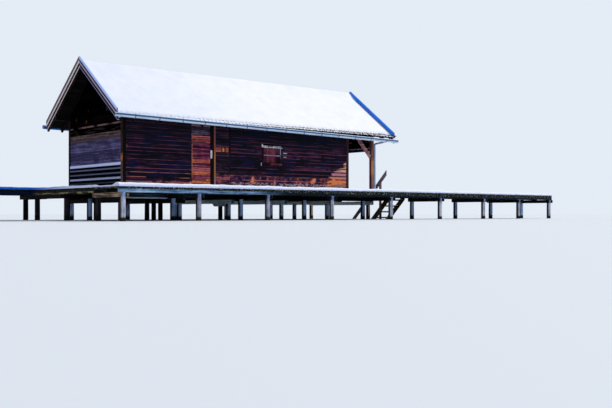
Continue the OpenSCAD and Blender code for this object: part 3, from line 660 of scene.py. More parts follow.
# The plank that closes the gap between the pier's clamps and the gable deck's, nailed up under
# the outer stringer and as black as the clamps.
clamp_low, clamp_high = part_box("side_deck_clamps")
outer_x, clamp_end_y = ends[0][0].x, 0.333
bm = timber_mesh()
lay_board(bm, (outer_x - 0.02, clamp_end_y, clamp_low.z), (outer_x + 0.05, pier_box[0].y, clamp_high.z),
          1, 0.3, random.Random(15))
piece("closing_plank", bm, None, "deck_timber", soffit_beam_wood)


# Wall boarding: horizontal boards, each lapped a little over the one below and nailed to the
# posts behind, in lengths that butt at random. Stained dark, bared to orange near the deck.
def board_wall(bm, low, high, face, board, rng, tone=None, hole=None, lengths=(2.4, 4.2), thick=0.026,
               uneven=0.0):
    """Lapped boards over a rectangle. face is the outward direction as (axis, sign)."""
    axis, sign = face
    run = 1 - axis
    rows = max(1, round((high[2] - low[2]) / board))
    widths = random.Random(rows)
    heights = [1 + uneven * widths.uniform(-1, 1) for row in range(rows)]
    scale = (high[2] - low[2]) / sum(heights)
    for row in range(rows):
        tall = heights[row] * scale
        z = low[2] + sum(heights[:row]) * scale
        lean = math.atan2(0.012, tall) * (1 if (axis == 1) == (sign < 0) else -1)
        tilt = Matrix.Rotation(lean, 3, "X" if axis == 1 else "Y")
        spans = []
        start = low[run]
        while start < high[run] - 0.01:
            end = start + rng.uniform(*lengths)
            if high[run] - end < 0.6:
                end = high[run]
            spans.append((start, end))
            start = end
        if hole and z + tall > hole[0][2] + 0.01 and z < hole[1][2] - 0.01:
            spans = [part for a, b in spans
                     for part in ((a, min(b, hole[0][run])), (max(a, hole[1][run]), b))]
        for a, b in spans:
            if b - a < 0.02:
                continue
            start, end = [0, 0, z - 0.006], [0, 0, z + tall + 0.004]
            start[run], end[run] = a + 0.001, b - 0.001
            inset = 0.004 + rng.uniform(0, 0.003)
            start[axis] = low[axis] + inset if sign < 0 else high[axis] - inset - thick
            end[axis] = start[axis] + thick
            shade = tone() if tone else rng.uniform(0, 1)
            lay_board(bm, start, end, run, min(1, max(0, shade)), rng, tilt=tilt)


def boarded(name, node, face, board, wood, rng, slot_name="wall_boards", roofed=False, **boards):
    """A CAD wall in boards of one wood, cut off along both slopes where it reaches the roof."""
    bm = timber_mesh()
    low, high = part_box(node)
    board_wall(bm, low, high, face, board, rng, **boards)
    for side in (-1, 1) if roofed else ():
        normal = Vector((0, side * math.sin(pitch), math.cos(pitch)))
        bmesh.ops.bisect_plane(bm, geom=bm.verts[:] + bm.edges[:] + bm.faces[:], dist=0.00001,
                               plane_co=(0, ridge_y, high[2]), plane_no=normal, clear_outer=True)
        bmesh.ops.holes_fill(bm, edges=[e for e in bm.edges if e.is_boundary], sides=0)
    piece(name, bm, node, slot_name, wood)


to_front, to_back, to_left, to_right = (1, -1), (1, 1), (0, -1), (0, 1)
wall_board, gable_board = 0.15, 0.165
wall_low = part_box("front_wall_left")[0].z
wall_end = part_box("front_wall_right")[1].x
wall_wood = timber("dark_stained_spruce", "#04050F", "#130A20", "#5C2A48", contrast=2.8, rough=0.75,
                   deep=("#0A1034", 0.5), rim=("#7C4862", 0.75))
up = wall_wood.add("Attribute", out="Fac", attribute_name="up")
at_front = wall_wood.share(("Y", -1.93, -1.97))
# splashed boards over the deck: violet, with blue-black spots and bare ones, more of them bare to
# the right
splash_top = wall_wood.add("MapRange", {"Value": wall_wood.at["X"], "From Min": -5.4, "From Max": -3.6,
                                        "To Min": wall_low + 0.22, "To Max": wall_low + 0.5})
splashed = wall_wood.share((wall_wood.total(splash_top, ("Z", -1)), -0.02, 0.03))
rightward = wall_wood.share(("X", -0.6, 1.6))
spots = wall_wood.total((3.4, 3.4, 3.0, 1.5), (rightward, 0.07))
wall_wood.lay("#4A2844", splashed)
for first, full, tint in ((0.485, 0.43, "#08143E"), (0.535, 0.57, "#8C403E"), (0.59, 0.66, "#F49068")):
    wall_wood.lay(tint, splashed, (spots, first, full))
# the boards' lower edges are bare further up
wall_wood.lay("#BC7466", ("Z", wall_low + 0.66, wall_low + 0.6), (up, 0.26, 0.14),
              ((1.3, 1.3, 6.0), 0.4, 0.52))
# a weathered drip line just over the deck, and pale spots where the boards meet the corner post, a painted
# highlight on the board ends
foot = wall_wood.share(("Z", wall_low + 0.26, wall_low + 0.22), ("X", -5.0, -4.4))
wall_wood.lay("#3A2038", foot)
wall_wood.lay("#B8A0AA", foot, ((9.0, 9.0, 22.0), 0.47, 0.56))
wall_wood.lay("#8A5C5C", ("X", -8.08, -8.12), at_front, ((3.0, 3.0, 5.5), 0.6, 0.68))
# the corner by the porch: a painted patch of low sunlight under the eave's slanting shadow, from
# grey-rose at the foot over orange to dusty pink and peach, in streaks
slant = wall_wood.total("Z", ("X", -0.75), ((0.8, 0.8, 7.0), 0.9))
shadow = wall_low + 1.6 - 0.75 * wall_end
warm = wall_wood.total("Z", ((1.6, 1.6, 9.0, 3.0), 0.5))
sunlight_paint = "#9A746E"
for level, tint in ((0.48, "#F08A50"), (0.76, "#C88292"), (1.02, "#F0B098")):
    sunlight_paint = wall_wood.build(sunlight_paint, (tint, (warm, wall_low + level, wall_low + level + 0.06)))
wall_wood.lay(sunlight_paint, (slant, shadow + 0.13, shadow), ("X", wall_end - 1.3, wall_end - 1.0), at_front,
              (up, 0.8, 0.66))
# painted shade: up under the eave the boards are dark and bluish
wall_wood.lay("#060D1A", ("Z", 2.5, 3.6), 0.7)
rng = random.Random(21)
boarded("front_wall_left_boards", "front_wall_left", to_front, wall_board, wall_wood, rng, uneven=0.16,
        tone=lambda: rng.betavariate(1.2, 2.2))


# Over the door: short greyer boards, nailed as the wall's, and the dark closing strip beside
# them that runs on up to the eave.
over_wood = timber("grey_rose_spruce", "#1A1624", "#544860", "#9C7C90", patch=0.2, rim=("#A08090", 0.6))
strip_wood = timber("black_closing_strip", "#040303", "#0C0808", "#22161A")
strip = 0.16
bm = timber_mesh()
low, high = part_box("front_wall_over_door")
board_wall(bm, low, (high.x - strip, high.y, high.z), to_front, wall_board, rng, lengths=(5, 6))
lay_board(bm, (high.x - strip + 0.002, low.y + 0.002, low.z), (high.x - 0.002, low.y + 0.03, high.z), 2,
          0.3, rng, wood=1)
piece("front_wall_over_door_boards", bm, "front_wall_over_door", "wall_boards", over_wood, strip_wood)


# Right of the door: the same dark boards, lapped and nailed as on the left, in shorter lengths,
# sawn off where the window's lining stands.
lining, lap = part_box("window_frame"), Vector((0.045, 0, 0.045))
boarded("front_wall_right_boards", "front_wall_right", to_front, wall_board, wall_wood, rng, uneven=0.16,
        hole=(lining[0] + lap, lining[1] - lap), lengths=(1.4, 3.2), tone=lambda: rng.betavariate(1.1, 1.8))


# Fixed panel beside the latch post: boards as on the wall, a cover strip on its right edge, and
# a band of three newer, lighter boards at handle height, nailed on a dark backing board.
panel_wood = timber("panel_spruce", "#060715", "#1C1226", "#64324A", patch=0.3, rough=0.75,
                    low=("#7A3A48", "#B0626A", wall_low + 0.3, wall_low + 0.65, 0.6), rim=("#70485A", 0.7))
new_board_wood = timber("newer_panel_board", "#4A1A20", "#A85444", "#ECA080", streak=0.02, patch=0.12,
                        contrast=2.4, rough=0.7)
bm = timber_mesh()
low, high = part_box("front_wall_side_panel")
split_x = high.x - 0.07
band = (wall_low + 1.385, wall_low + 1.6)
for bottom, top in ((low.z, band[0]), (band[1], high.z)):
    board_wall(bm, (low.x, low.y, bottom), (split_x, high.y, top), to_front, 0.16, rng, lengths=(5, 6),
               tone=lambda: rng.uniform(0.0, 0.6))
lay_board(bm, (split_x + 0.004, low.y + 0.001, low.z), (high.x - 0.002, low.y + 0.03, high.z), 2, 0.15, rng)
x = low.x + 0.02
for share, gap, tone in ((0.5, 0.05, 0.55), (0.23, 0.06, 0.8), (0.27, 0.03, 0.4)):
    end = x + share * (split_x - low.x - 0.02)
    lay_board(bm, (x, low.y + 0.002, band[0] + 0.012), (end - gap, low.y + 0.03, band[1] - 0.035), 0, tone,
              rng, wood=1)
    x = end
lay_board(bm, (low.x, low.y + 0.026, band[0]), (split_x, low.y + 0.034, band[1]), 0, 0.0, rng)
piece("side_panel_boards", bm, "front_wall_side_panel", "wall_boards", panel_wood, new_board_wood)


# Back wall: the same stained boards, lapped and nailed to the posts as at the front, from corner
# to corner, since it has no opening.
boarded("back_wall_boards", "back_wall", to_back, wall_board, wall_wood, rng, uneven=0.16,
        tone=lambda: rng.betavariate(1.1, 1.8))


# Gables: lapped weather-grey boards on the left, near-black boarding above the tie beam, plain
# dark boards on the right end wall and over the porch, sawn off along the roof's slope.
top_of_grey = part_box("left_gable_wall")[1].z
grey_wood = timber("silvered_spruce", "#15122A", "#373154", "#726C98", contrast=1.6)
grey_wood.lay("#4A3A40", ("Z", top_of_grey - 0.16, top_of_grey - 0.02))
rng = random.Random(31)
boarded("left_gable_boards", "left_gable_wall", to_left, gable_board, grey_wood, rng, "gable_boards",
        lengths=(5, 6), thick=0.03, tone=lambda: rng.uniform(0.35, 0.75))
black_wood = timber("shaded_gable_boards", "#000000", "#020102", "#0C0708", rough=0.9)
black_wood.shader["Specular IOR Level"].default_value = 0.0
black_wood.lay("#2C2224", ("Z", top_of_grey + 0.4, top_of_grey + 0.3), ((1.2, 1.2, 14.0, 3.0), 0.5, 0.6))
# one paler board, lit in lengths, and rusty spots under the peak
black_wood.lay("#7A5E5E", ("Z", top_of_grey + 0.41, top_of_grey + 0.43),
               ("Z", top_of_grey + 0.49, top_of_grey + 0.46), ((1.4, 1.4, 2.0), 0.4, 0.58))
black_wood.lay("#4A2C14", ("Z", top_of_grey + 1.15, top_of_grey + 0.95), ((5.0, 5.0, 3.0), 0.66, 0.72))
for node, face, wood, board, slot_name in (
        ("left_gable_triangle", to_left, black_wood, gable_board, "gable_boards"),
        ("porch_gable", to_right, black_wood, gable_board, "wall_boards"),
        ("right_end_wall", to_right, wall_wood, 0.16, "wall_boards")):
    boarded(node + "_boards", node, face, board, wood, rng, slot_name, roofed=True, lengths=(5, 6),
            thick=0.03, tone=lambda: rng.betavariate(1.4, 2.0))


# Weatherboards: five sloping boards lapped over one another at the foot of the left gable,
# near black as painted shade, their upper faces white with frost, some more than others.
lap_wood = timber("frosted_weatherboard", "#020206", "#080812", "#20203A")
lap_wood.shader["Specular IOR Level"].default_value = 0.0
rime, up = [lap_wood.add("Attribute", out="Fac", attribute_name=name) for name in ("rime", "up")]
lap_wood.lay("#D0D8FF", (lap_wood.total(up, (rime, 0.22)), 0.6, 0.72), rime)
bm = timber_mesh()
crust = bm.verts.layers.float.new("rime")
low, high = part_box("left_gable_weatherboards")
rimes = (0.08, 0.7, 0.2, 0.24, 1.0)
tall = (high.z - low.z) / len(rimes)
for i, amount in enumerate(rimes):
    z = low.z + i * tall
    start, end = (low.x + 0.006, low.y + 0.002, z), (low.x + 0.03, high.y - 0.002, z + tall + 0.012)
    for v in lay_board(bm, start, end, 1, rng.uniform(0.1, 0.5), rng, ease=0.005,
                       tilt=Matrix.Rotation(math.radians(8), 3, "Y")):
        v[crust] = amount
piece("gable_weatherboards", bm, "left_gable_weatherboards", "gable_boards", lap_wood)


# Window: a closed pair of boarded shutters behind a cross of bars, in a trim of flat boards
# nailed to the wall. The left trim is stained, the right and the head bleached, the sill red.
win_low, win_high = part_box("window_frame")
trim_w, trim_t, lip, half_bar = 0.09, 0.018, 0.04, 0.0225
left, right = win_low.x + trim_w, win_high.x - trim_w
sill, head = win_low.z + trim_w, win_high.z - trim_w
mid_x, mid_z = (left + right) / 2, (sill + head) / 2
face_y, trim_y, deep_y = win_low.y, win_low.y + trim_t, win_high.y
trim_wood = timber("dark_window_trim", "#040305", "#100C14", "#302838", patch=0.3)
pale_wood = timber("bleached_window_trim", "#16121E", "#4A4658", "#A8B4C4", streak=0.1, patch=0.1,
                   contrast=3.0)
pale_wood.lay("#120E18", ("X", right + 0.035, right + 0.05))
pale_wood.lay("#1A1622", ("Z", head - 0.1, sill + 0.1))
red_wood = timber("red_sill_board", "#16101C", "#4A242E", "#A85058", patch=0.2)
sill_wood = timber("red_window_sill", "#140C18", "#542430", "#C46674", patch=0.2)
sill_wood.lay("#140C14", ("X", mid_x, mid_x - 0.15))
bars_wood = timber("lilac_window_bars", "#6E5070", "#A284A6", "#C8B0CC", patch=0.2)
rng = random.Random(40)
for name, wood, boards in (
        ("window_dark_trim", trim_wood, (
            ((win_low.x, face_y, sill), (left, trim_y, head), 2),
            ((left - lip, trim_y, sill - lip), (left, deep_y, head + lip), 2),
            ((right, trim_y, sill - lip), (right + lip, deep_y, head + lip), 2),
            ((left, trim_y, sill - lip), (right, deep_y, sill), 0),
            ((left, trim_y, head), (right, deep_y, head + lip), 0))),
        ("window_pale_trim", pale_wood, (
            ((right, face_y, sill), (win_high.x, trim_y, head), 2),
            ((win_low.x, face_y, head), (win_high.x, trim_y, win_high.z), 0))),
        ("window_sill_board", sill_wood, (
            ((win_low.x, face_y, win_low.z), (win_high.x, trim_y, sill), 0),)),
        ("window_bars", bars_wood, (
            ((left, face_y + 0.022, mid_z - half_bar), (right, face_y + 0.048, mid_z + half_bar), 0),)),
        ("window_upright_bar", red_wood, (
            ((mid_x - half_bar, face_y + 0.024, sill), (mid_x + half_bar, face_y + 0.046, head), 2),))):
    bm = timber_mesh()
    for start, end, way in boards:
        lay_board(bm, start, end, way, rng.uniform(0.3, 0.8), rng, ease=0.003)
    piece(name, bm, "window_frame", "wall_boards", wood)
# painted shadow: the shutter's right part is darkened as the shadow of the right trim
shutter_wood = tint_by_height(
    timber("red_shutter_boards", "#12040A", "#4A1A28", "#A85664", streak=0.03, patch=0.25, rough=0.7,
           along=("#241418", right - 0.26, right - 0.16)), 0.4,
    (sill, "#140812"), (sill + 0.14, "#34142A"), (sill + 0.3, "#461C38"), (head, "#9C4C60"))
bm = timber_mesh()
low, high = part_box("window_shutter")
rng = random.Random(41)
count = 6
width = (high.x - low.x) / count
for i in range(count):
    start = low.x + i * width
    lay_board(bm, (start + 0.002, low.y, low.z), (start + width - 0.002, high.y, high.z), 2,
              rng.uniform(0.2, 0.8), rng)
piece("window_shutter_boards", bm, "window_shutter", "door_boards", shutter_wood)


# Window fittings: two strap hooks on the right and a catch at the lower left, flat iron painted
# white, screwed to the boards.
hook_iron = timber("whitened_hook_iron", "#8A8EA2", "#B4B8CA", "#D8DCE8", patch=0.1, rough=0.5)
bm = timber_mesh()
for x, z, wide, tall in ((win_high.x + 0.07, 2.7, 0.2, 0.045), (win_high.x + 0.09, 2.55, 0.16, 0.03),
                         (win_low.x - 0.05, 2.17, 0.03, 0.13)):
    lay_board(bm, (x, face_y + 0.003, z), (x + wide, face_y + 0.016, z + tall), 0, 0.5, rng, ease=0.002)
piece("window_fittings", bm, None, "light_iron", hook_iron)


# Frost on the window's head board: a thin crust that has grown along it in the cold, ragged at
# its upper edge and a little thicker at the left.
def snow_finish(name, shade, light, upright="#D4DAF4"):
    """Dry thin snow, near white, a little blue in its hollows, grainy close to; its upright faces are tinted
    with painted shade.
    """
    made = Finish(name, Roughness=0.9, IOR=1.31)
    drift = made.add("TexNoise", {"Vector": made.place, "Scale": 1.6, "Detail": 5.0, "Roughness": 0.65})
    crumbs = made.add("TexNoise", {"Vector": made.place, "Scale": 1 / 0.12, "Detail": 3.0})
    made.feed(Base_Color=made.shades(drift, 0, 1, (0.3, shade), (0.6, light)),
              Normal=made.add("Bump", {"Strength": 0.25, "Distance": 0.01, "Height": crumbs}))
    made.lay(upright, (made.facing("Z"), 0.7, 0.2))
    return made


def sheet(bm, columns, rows, place):
    """A fine grid, each point put where place says for its share of the way along and across."""
    first = len(bm.verts)
    bmesh.ops.create_grid(bm, x_segments=columns, y_segments=rows, size=0.5)
    bm.verts.ensure_lookup_table()
    for v in bm.verts[first:]:
        v.co = place(v.co.x + 0.5, v.co.y + 0.5)


def verts_of(made):
    """The points among what an operator has made."""
    return [g for g in made["geom"] if isinstance(g, bmesh.types.BMVert)]


def rim_of(bm):
    """A second row of points round the open edge of a sheet."""
    return verts_of(bmesh.ops.extrude_edge_only(bm, edges=[e for e in bm.edges if e.is_boundary]))


def wander(*place):
    """A smooth random number between -1 and 1 for each place."""
    return noise.noise(Vector(place))


def frost_crust(u, w):
    """The crust's front, ragged along its upper edge."""
    ragged = wander(u * 15, 1.3, 0.0) + 0.5 * wander(u * 29, 2.6, 0.0)
    foot_z = win_high.z - 0.085 + 0.02 * wander(u * 13, 5.0, 0.0)
    top_z = max(win_high.z - 0.05 + 0.12 * ragged + 0.02 * (1 - u) ** 2, foot_z + 0.012)
    x = win_low.x - 0.02 + u * (win_high.x - win_low.x + 0.03)
    return x, face_y - 0.012, foot_z + w * (top_z - foot_z)


bm = bmesh.new()
sheet(bm, 64, 3, frost_crust)
back = bmesh.ops.extrude_face_region(bm, geom=bm.faces[:])
bmesh.ops.translate(bm, vec=(0, 0.02, 0), verts=verts_of(back))
bmesh.ops.recalc_face_normals(bm, faces=bm.faces)
piece("window_head_frost", bm, None, "snow_on_tiles",
      snow_finish("hoarfrost_crust", "#A8B4C0", "#DCE4E8", "#D4DCE0"))


# Front door: horizontal boards on three ledges, stained orange-red and bared at the foot, with
# a dark closing stile; it swings out over the walkway on two strap hinges.
door_wood = timber("red_stained_door_boards", "#180828", "#7C3050", "#E07C7C", streak=0.025, patch=0.2,
                   contrast=2.8, rough=0.75, rim=("#D8806A", 0.45))
bared_door_wood = timber("bared_door_boards", "#34102A", "#9C4444", "#EE8C60", streak=0.022, patch=0.14,
                         low=("#C8603A", "#F8A044", wall_low + 0.3, wall_low + 0.34, 0.8), contrast=3.0,
                         rough=0.75)
edge_wood = timber("worn_door_edge", "#5A2E28", "#A8614C", "#E09A70", streak=0.1, patch=0.2)
low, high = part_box("front_door")
stile = high.x - 0.15
rng = random.Random(51)
bm = timber_mesh()
# from the foot up: how light each board is, and whether its stain has gone
rows = ((0.6, 1), (0.9, 1), (0.35, 0), (0.55, 1), (0.65, 0), (0.35, 0), (0.6, 1), (0.4, 0), (0.45, 0),
        (0.05, 0), (0.25, 0), (0.25, 1), (0.7, 0))
tall = (high.z - low.z) / len(rows)
for i, (tone, bared) in enumerate(rows):
    z = low.z + i * tall
    lay_board(bm, (low.x + 0.03, low.y + rng.uniform(0.001, 0.003), z + 0.002),
              (stile, low.y + 0.026, z + tall - 0.002), 0, tone, rng, wood=bared)
piece("door_boards", bm, "front_door", "door_boards", door_wood, bared_door_wood, body="door")
bm = timber_mesh()
lay_board(bm, low, (low.x + 0.029, high.y, high.z), 2, 0.6, rng)
piece("door_edge_strip", bm, None, "door_boards", edge_wood, body="door")
bm = timber_mesh()
lay_board(bm, (stile + 0.002, low.y, low.z), high, 2, 0.3, rng)
for z in (low.z + 0.2, low.z + 0.95, high.z - 0.32):
    lay_board(bm, (low.x + 0.03, low.y + 0.0262, z), (stile, high.y, z + 0.12), 0, 0.4, rng)
piece("door_stile_and_ledges", bm, None, "door_boards", strip_wood, body="door")


# Hinges, pins and handle: forged iron straps, screwed through the boards. The long handle is
# painted white, the straps and pins are dark.
def worn_metal(name, base, light, rough, metallic, grain=0.012):
    """Sheet or forged metal with soft blotches, duller where it has weathered."""
    metal = Finish(name, Metallic=metallic)
    blotch = metal.add("TexNoise", {"Vector": metal.place, "Scale": 2.2, "Detail": 4.0, "Roughness": 0.6})
    cells = metal.add("TexVoronoi", {"Vector": metal.place, "Scale": 1 / grain})
    both = metal.total(blotch, (cells, 0.25))
    dull = metal.add("MapRange", {"Value": blotch, "To Min": rough - 0.1, "To Max": rough + 0.15})
    metal.feed(Base_Color=metal.shades(both, 0, 1, (0.35, base), (0.85, light)), Roughness=dull,
               Normal=metal.add("Bump", {"Strength": 0.12, "Distance": 0.002, "Height": blotch}))
    return metal


def repaint(node, finish):
    """Gives a shown CAD node its finish."""
    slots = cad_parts[node].data.materials
    slots.clear()
    slots.append(finish.material)


handle_paint = worn_metal("white_handle_paint", "#C9D0DC", "#F2F5FA", 0.4, 0.0)
handle_paint.lay("#3A1A1E", ("X", high.x - 0.2, high.x - 0.21))
repaint("door_ironwork", handle_paint)
repaint("door_pintles", worn_metal("black_forged_iron", "#15151A", "#33333A", 0.55, 0.7))


# Roof: boards nailed on the rafters, flat clay tiles laid in double courses on battens, thin
# snow over all but the lowest courses. The eaves show the tiles' dark round ends.
# painted shade: the roof boarding is near black, as seen from below in the roof's shade
soffit_wood = timber("dark_roof_boards", "#050405", "#0E0A0B", "#221818", streak=0.03, patch=0.6)
clay = timber("frosted_clay_tile", "#1E1514", "#4A332E", "#8A7068", streak=0.05, patch=0.12,
              frost=("#EEF2FA", 1.1))
# towards the right the frost has gone from the tile ends in speckles
gone = clay.add("MapRange", {"Value": clay.at["X"], "From Min": -8.0, "From Max": 2.0,
                             "To Min": 0.72, "To Max": 0.47})
clay.lay("#2A2436", (clay.total((17.0, 17.0, 30.0, 3.0), (gone, -1)), 0.0, 0.05))
snow = snow_finish("thin_snow", "#ECF0F9", "#F6F7FC")
# painted shade: the snow is a little darker towards the left
snow.lay("#F1F4FA", ("X", 0.0, -8.5), kind="MULTIPLY")

low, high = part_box("roof_front_slope")
length = high.x - low.x
slope_len = (high.y - low.y) / math.cos(pitch)
eave_z = high.z - slope_len * math.sin(pitch)
roof_t = (eave_z - low.z) * math.cos(pitch)
# from the slope's own plane, with y up the slope, to its place on the roof
to_slope = Matrix.Translation((0, low.y, eave_z)) @ Matrix.Rotation(pitch, 4, "X")

# the tile that all others repeat: a thin clay slab with a rounded lower end
tile_w, tile_l, tile_t, course_step = 0.18, 0.30, 0.016, 0.15
half_w = tile_w / 2 - 0.002
tile = timber_mesh()
bmesh.ops.create_circle(tile, cap_ends=True, segments=16, radius=half_w,
                        matrix=Matrix.Translation((0, tile_w / 2, 0)))
for v in tile.verts:
    if v.co.y > tile_w / 2 - 0.001:
        v.co.y = tile_l
        v.co.x = half_w * (1 if v.co.x > 0 else -1) * (1 if abs(v.co.x) > 0.05 else 0.5)
top = bmesh.ops.extrude_face_region(tile, geom=tile.faces[:])
bmesh.ops.translate(tile, vec=(0, 0, tile_t), verts=verts_of(top))
bmesh.ops.recalc_face_normals(tile, faces=tile.faces)
tile_mesh = bpy.data.meshes.new("tile")
tile.to_mesh(tile_mesh)
tile.free()


def roof_snow(u, w):
    """The snow's surface: uneven along its lower edge, with the tile courses showing faintly."""
    x = low.x + 0.004 + u * (length - 0.008)
    edge = 0.09 + 0.11 * u ** 1.3 + 0.05 * wander(x * 1.3, 3.1, 7.0)
    edge += (0.03 + 0.04 * u) * (wander(x * 9.0, 1.0, 2.0) + wander(x * 21.0, 4.0, 2.0))
    d = edge + w ** 1.35 * (slope_len + 0.005 - edge)
    thin = min(1.0, max(0.0, (d - edge) / 0.12))
    course = 0.003 * math.sin(d / course_step * 2 * math.pi) + 0.004 * wander(x * 3, d * 3, 0)
    verge = min(1.0, max(0.0, (high.x - x) / 0.3))
    return x, d, -0.016 + thin * (0.044 + course) * verge + 0.002 * wander(x * 25, d * 25, 0)


def roof_layer(bm, node, name, stands_for, slot_name, finish, snowy=False):
    """Tilts a layer to its slope and makes it a piece. Snow is blown up against the ridge, more
    towards the right. The back slope's layers are mirrored about the ridge."""
    bmesh.ops.transform(bm, matrix=to_slope, verts=bm.verts)
    for v in bm.verts if snowy else ():
        near = min(1.0, max(0.0, 1 - (ridge_y - v.co.y) / 0.4))
        v.co.z += (0.035 + 0.05 * (v.co.x - low.x) / length) * near * near * (3 - 2 * near)
    if node == "roof_back_slope":
        bmesh.ops.scale(bm, vec=(1, -1, 1), verts=bm.verts)
        bmesh.ops.translate(bm, vec=(0, 2 * ridge_y, 0), verts=bm.verts)
        bmesh.ops.reverse_faces(bm, faces=bm.faces)
    piece(node + name, bm, stands_for, slot_name, finish, smooth=snowy)


for node in ("roof_front_slope", "roof_back_slope"):
    rng = random.Random(node)
    # boarding under the tiles
    bm = timber_mesh()
    rows = round(slope_len / 0.17)
    width = slope_len / rows
    for i in range(rows):
        x = low.x
        while x < high.x - 0.01:
            end = x + rng.uniform(3.0, 4.6)
            if high.x - end < 0.8:
                end = high.x
            lay_board(bm, (x + 0.001, i * width + 0.001, -roof_t),
                      (end - 0.001, (i + 1) * width - 0.001, -roof_t + 0.024), 0, rng.uniform(0, 1), rng)
            x = end
    roof_layer(bm, node, "_boarding", node, "frame_timber", soffit_wood)
    # tiles: the lowest courses, set on battens, each course half a tile to the side
    bm = timber_mesh()
    columns = round(length / tile_w)
    across = length / columns
    for row in range(4):
        for k in range(columns + row % 2):
            x = low.x + (k + (0.5 if row % 2 == 0 else 0.0)) * across
            x = min(max(x, low.x + across * 0.5), high.x - across * 0.5)
            first = len(bm.verts)
            bm.from_mesh(tile_mesh)
            bm.verts.ensure_lookup_table()
            fresh = bm.verts[first:]
            y, z = -0.03 + course_step * row + rng.uniform(-0.008, 0.008), -0.02 + rng.uniform(-0.002, 0.002)
            place = Matrix.Translation((x, y, z)) @ Matrix.Rotation(math.radians(-6.0), 4, "X")
            place = place @ Matrix.Rotation(rng.uniform(-0.02, 0.02), 4, "Z")
            bmesh.ops.transform(bm, matrix=place, verts=fresh)
            mark_grain(bm, fresh, axes_from(1), rng.uniform(0, 1), rng)
    for y in (2 * course_step, 4 * course_step):
        lay_board(bm, (low.x, y - 0.02, -roof_t + 0.025), (high.x, y + 0.03, -roof_t + 0.05), 0, 0.2, rng)
    roof_layer(bm, node, "_eave_tiles", None, "snow_on_tiles", clay)
    # snow, turned down at its rim
    bm = timber_mesh()
    sheet(bm, 360, 44, roof_snow)
    for v in rim_of(bm):
        v.co.z = -0.075 if v.co.y > 0.5 else v.co.z - 0.02
    roof_layer(bm, node, "_snow", None, "snow_on_tiles", snow, snowy=True)


# Barge boards: planed spruce in purple-grey paint, nailed over the verge rafters, with a folded
# sheet-metal verge over them whose edges show as thin pale lines, painted highlights, between dark
# bands of painted shadow. The sheet's blue is a painted reflection of the sky, and its back slope at
# the left verge is painted dark as shade.
barge_paint = line_the_slope(
    timber("purple_grey_barge_paint", "#211E2E", "#565068", "#A09CBC", patch=0.4, rough=0.7), 0.85,
    ((0.5, "#C8B8CC"), (0.205, "#14101C")), ((0.5, "#060506"), (0.245, "#F4DEDC")))
sawn("barge_planks", "barge_boards", "barge_paint", barge_paint, ease=0.004)
repaint("verge_flashings", line_the_slope(
    worn_metal("sky_blue_reflecting_sheet", "#0064DE", "#0E82F4", 0.38, 0.1), 1.0,
    ((0.5, "#0A0A14"), (0.125, "#46548C"), (0.1, "#B4C8FC")), ((0.5, "#080C1A"),)))


# The folded end of the right verge at the eave: black sheet, bent down and nailed to the barge
# board, with a short spur.
bm = timber_mesh()
bend = Vector((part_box("barge_boards")[1].x, low.y, 3.72))
lay_board(bm, bend + Vector((-0.03, 0.0, -0.05)), bend + Vector((0.05, 0.03, 0.05)), 0, 0.1, rng)
lay_board(bm, bend + Vector((0.05, 0.005, 0.0)), bend + Vector((0.13, 0.025, 0.035)), 0, 0.1, rng)
piece("verge_end_hook", bm, None, "iron", strip_wood)


# Gutters and downpipe: half-round zinc hung in flat straps from the rafter tails. Their pale blue is
# a painted reflection of the sky; the upper half of the front bowl is painted dark as the tiles' shade,
# with a pale line along the rim, and the back gutter is painted a deeper blue as in shade. Snow lies in it.
gutter_low, gutter_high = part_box("gutters")
gutter_len = gutter_high.x - gutter_low.x
strap_step, first_strap = 0.9669, -8.26
outer = [v.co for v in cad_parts["gutters"].data.vertices if v.co.y < gutter_low.y + 0.003]
rim_left = max(c.z for c in outer if c.x < gutter_low.x + 0.2)
rim_right = max(c.z for c in outer if c.x > gutter_high.x - 0.2)
fall = (rim_right - rim_left) / gutter_len
rim_zero = rim_left - fall * gutter_low.x
zinc = worn_metal("weathered_sky_lit_zinc_gutter", "#A3BFE0", "#DCE8F8", 0.35, 0.1, grain=0.02)
level = zinc.total("Z", ("X", -fall))
uneven = zinc.total(level, ((1.5, 1.5, 1.5), 0.02))
zinc.lay("#1F5C8C", (uneven, rim_zero - 0.062, rim_zero - 0.05))
zinc.lay("#B8CCE4", (level, rim_zero - 0.009, rim_zero - 0.005))
zinc.lay("#1E6AB4", ("Y", 0.0, 0.5))
# the straps, one at each rafter, are darker than the bowl
hang = zinc.total(20.5 - first_strap / strap_step, ("X", 1 / strap_step))
hang = zinc.total(zinc.add("Math", (hang,), operation="FRACT"), (1.0, -0.5))
hang = zinc.add("Math", (hang,), operation="ABSOLUTE")
zinc.lay("#1A4468", zinc.add("MapRange", {"Value": hang, "From Min": 0.0180, "From Max": 0.0174}))
repaint("gutters", zinc)
repaint("downpipe", worn_metal("weathered_sky_lit_zinc_pipe", "#6A90C0", "#A4C4E8", 0.4, 0.1, grain=0.02))

bm = bmesh.new()
for y in (gutter_low.y + 0.088, gutter_high.y - 0.088):
    def gutter_snow(u, w):
        """The crown of the snow in one gutter, lumpy along its length."""
        x = gutter_low.x + 0.06 + u * (gutter_len - 0.5)
        side = w - 0.5
        crumb = wander(x * 11, side * 4, y) + wander(x * 2.3, 0.0, y)
        crown = (1 - 3.2 * side * side) * (0.045 + 0.014 * crumb)
        return x, y + side * 0.12, rim_left + fall * (x - gutter_low.x) - 0.02 + crown

    sheet(bm, 420, 4, gutter_snow)
bmesh.ops.translate(bm, verts=rim_of(bm), vec=(0, 0, -0.03))
piece("gutter_snow", bm, None, "snow_on_tiles", snow)


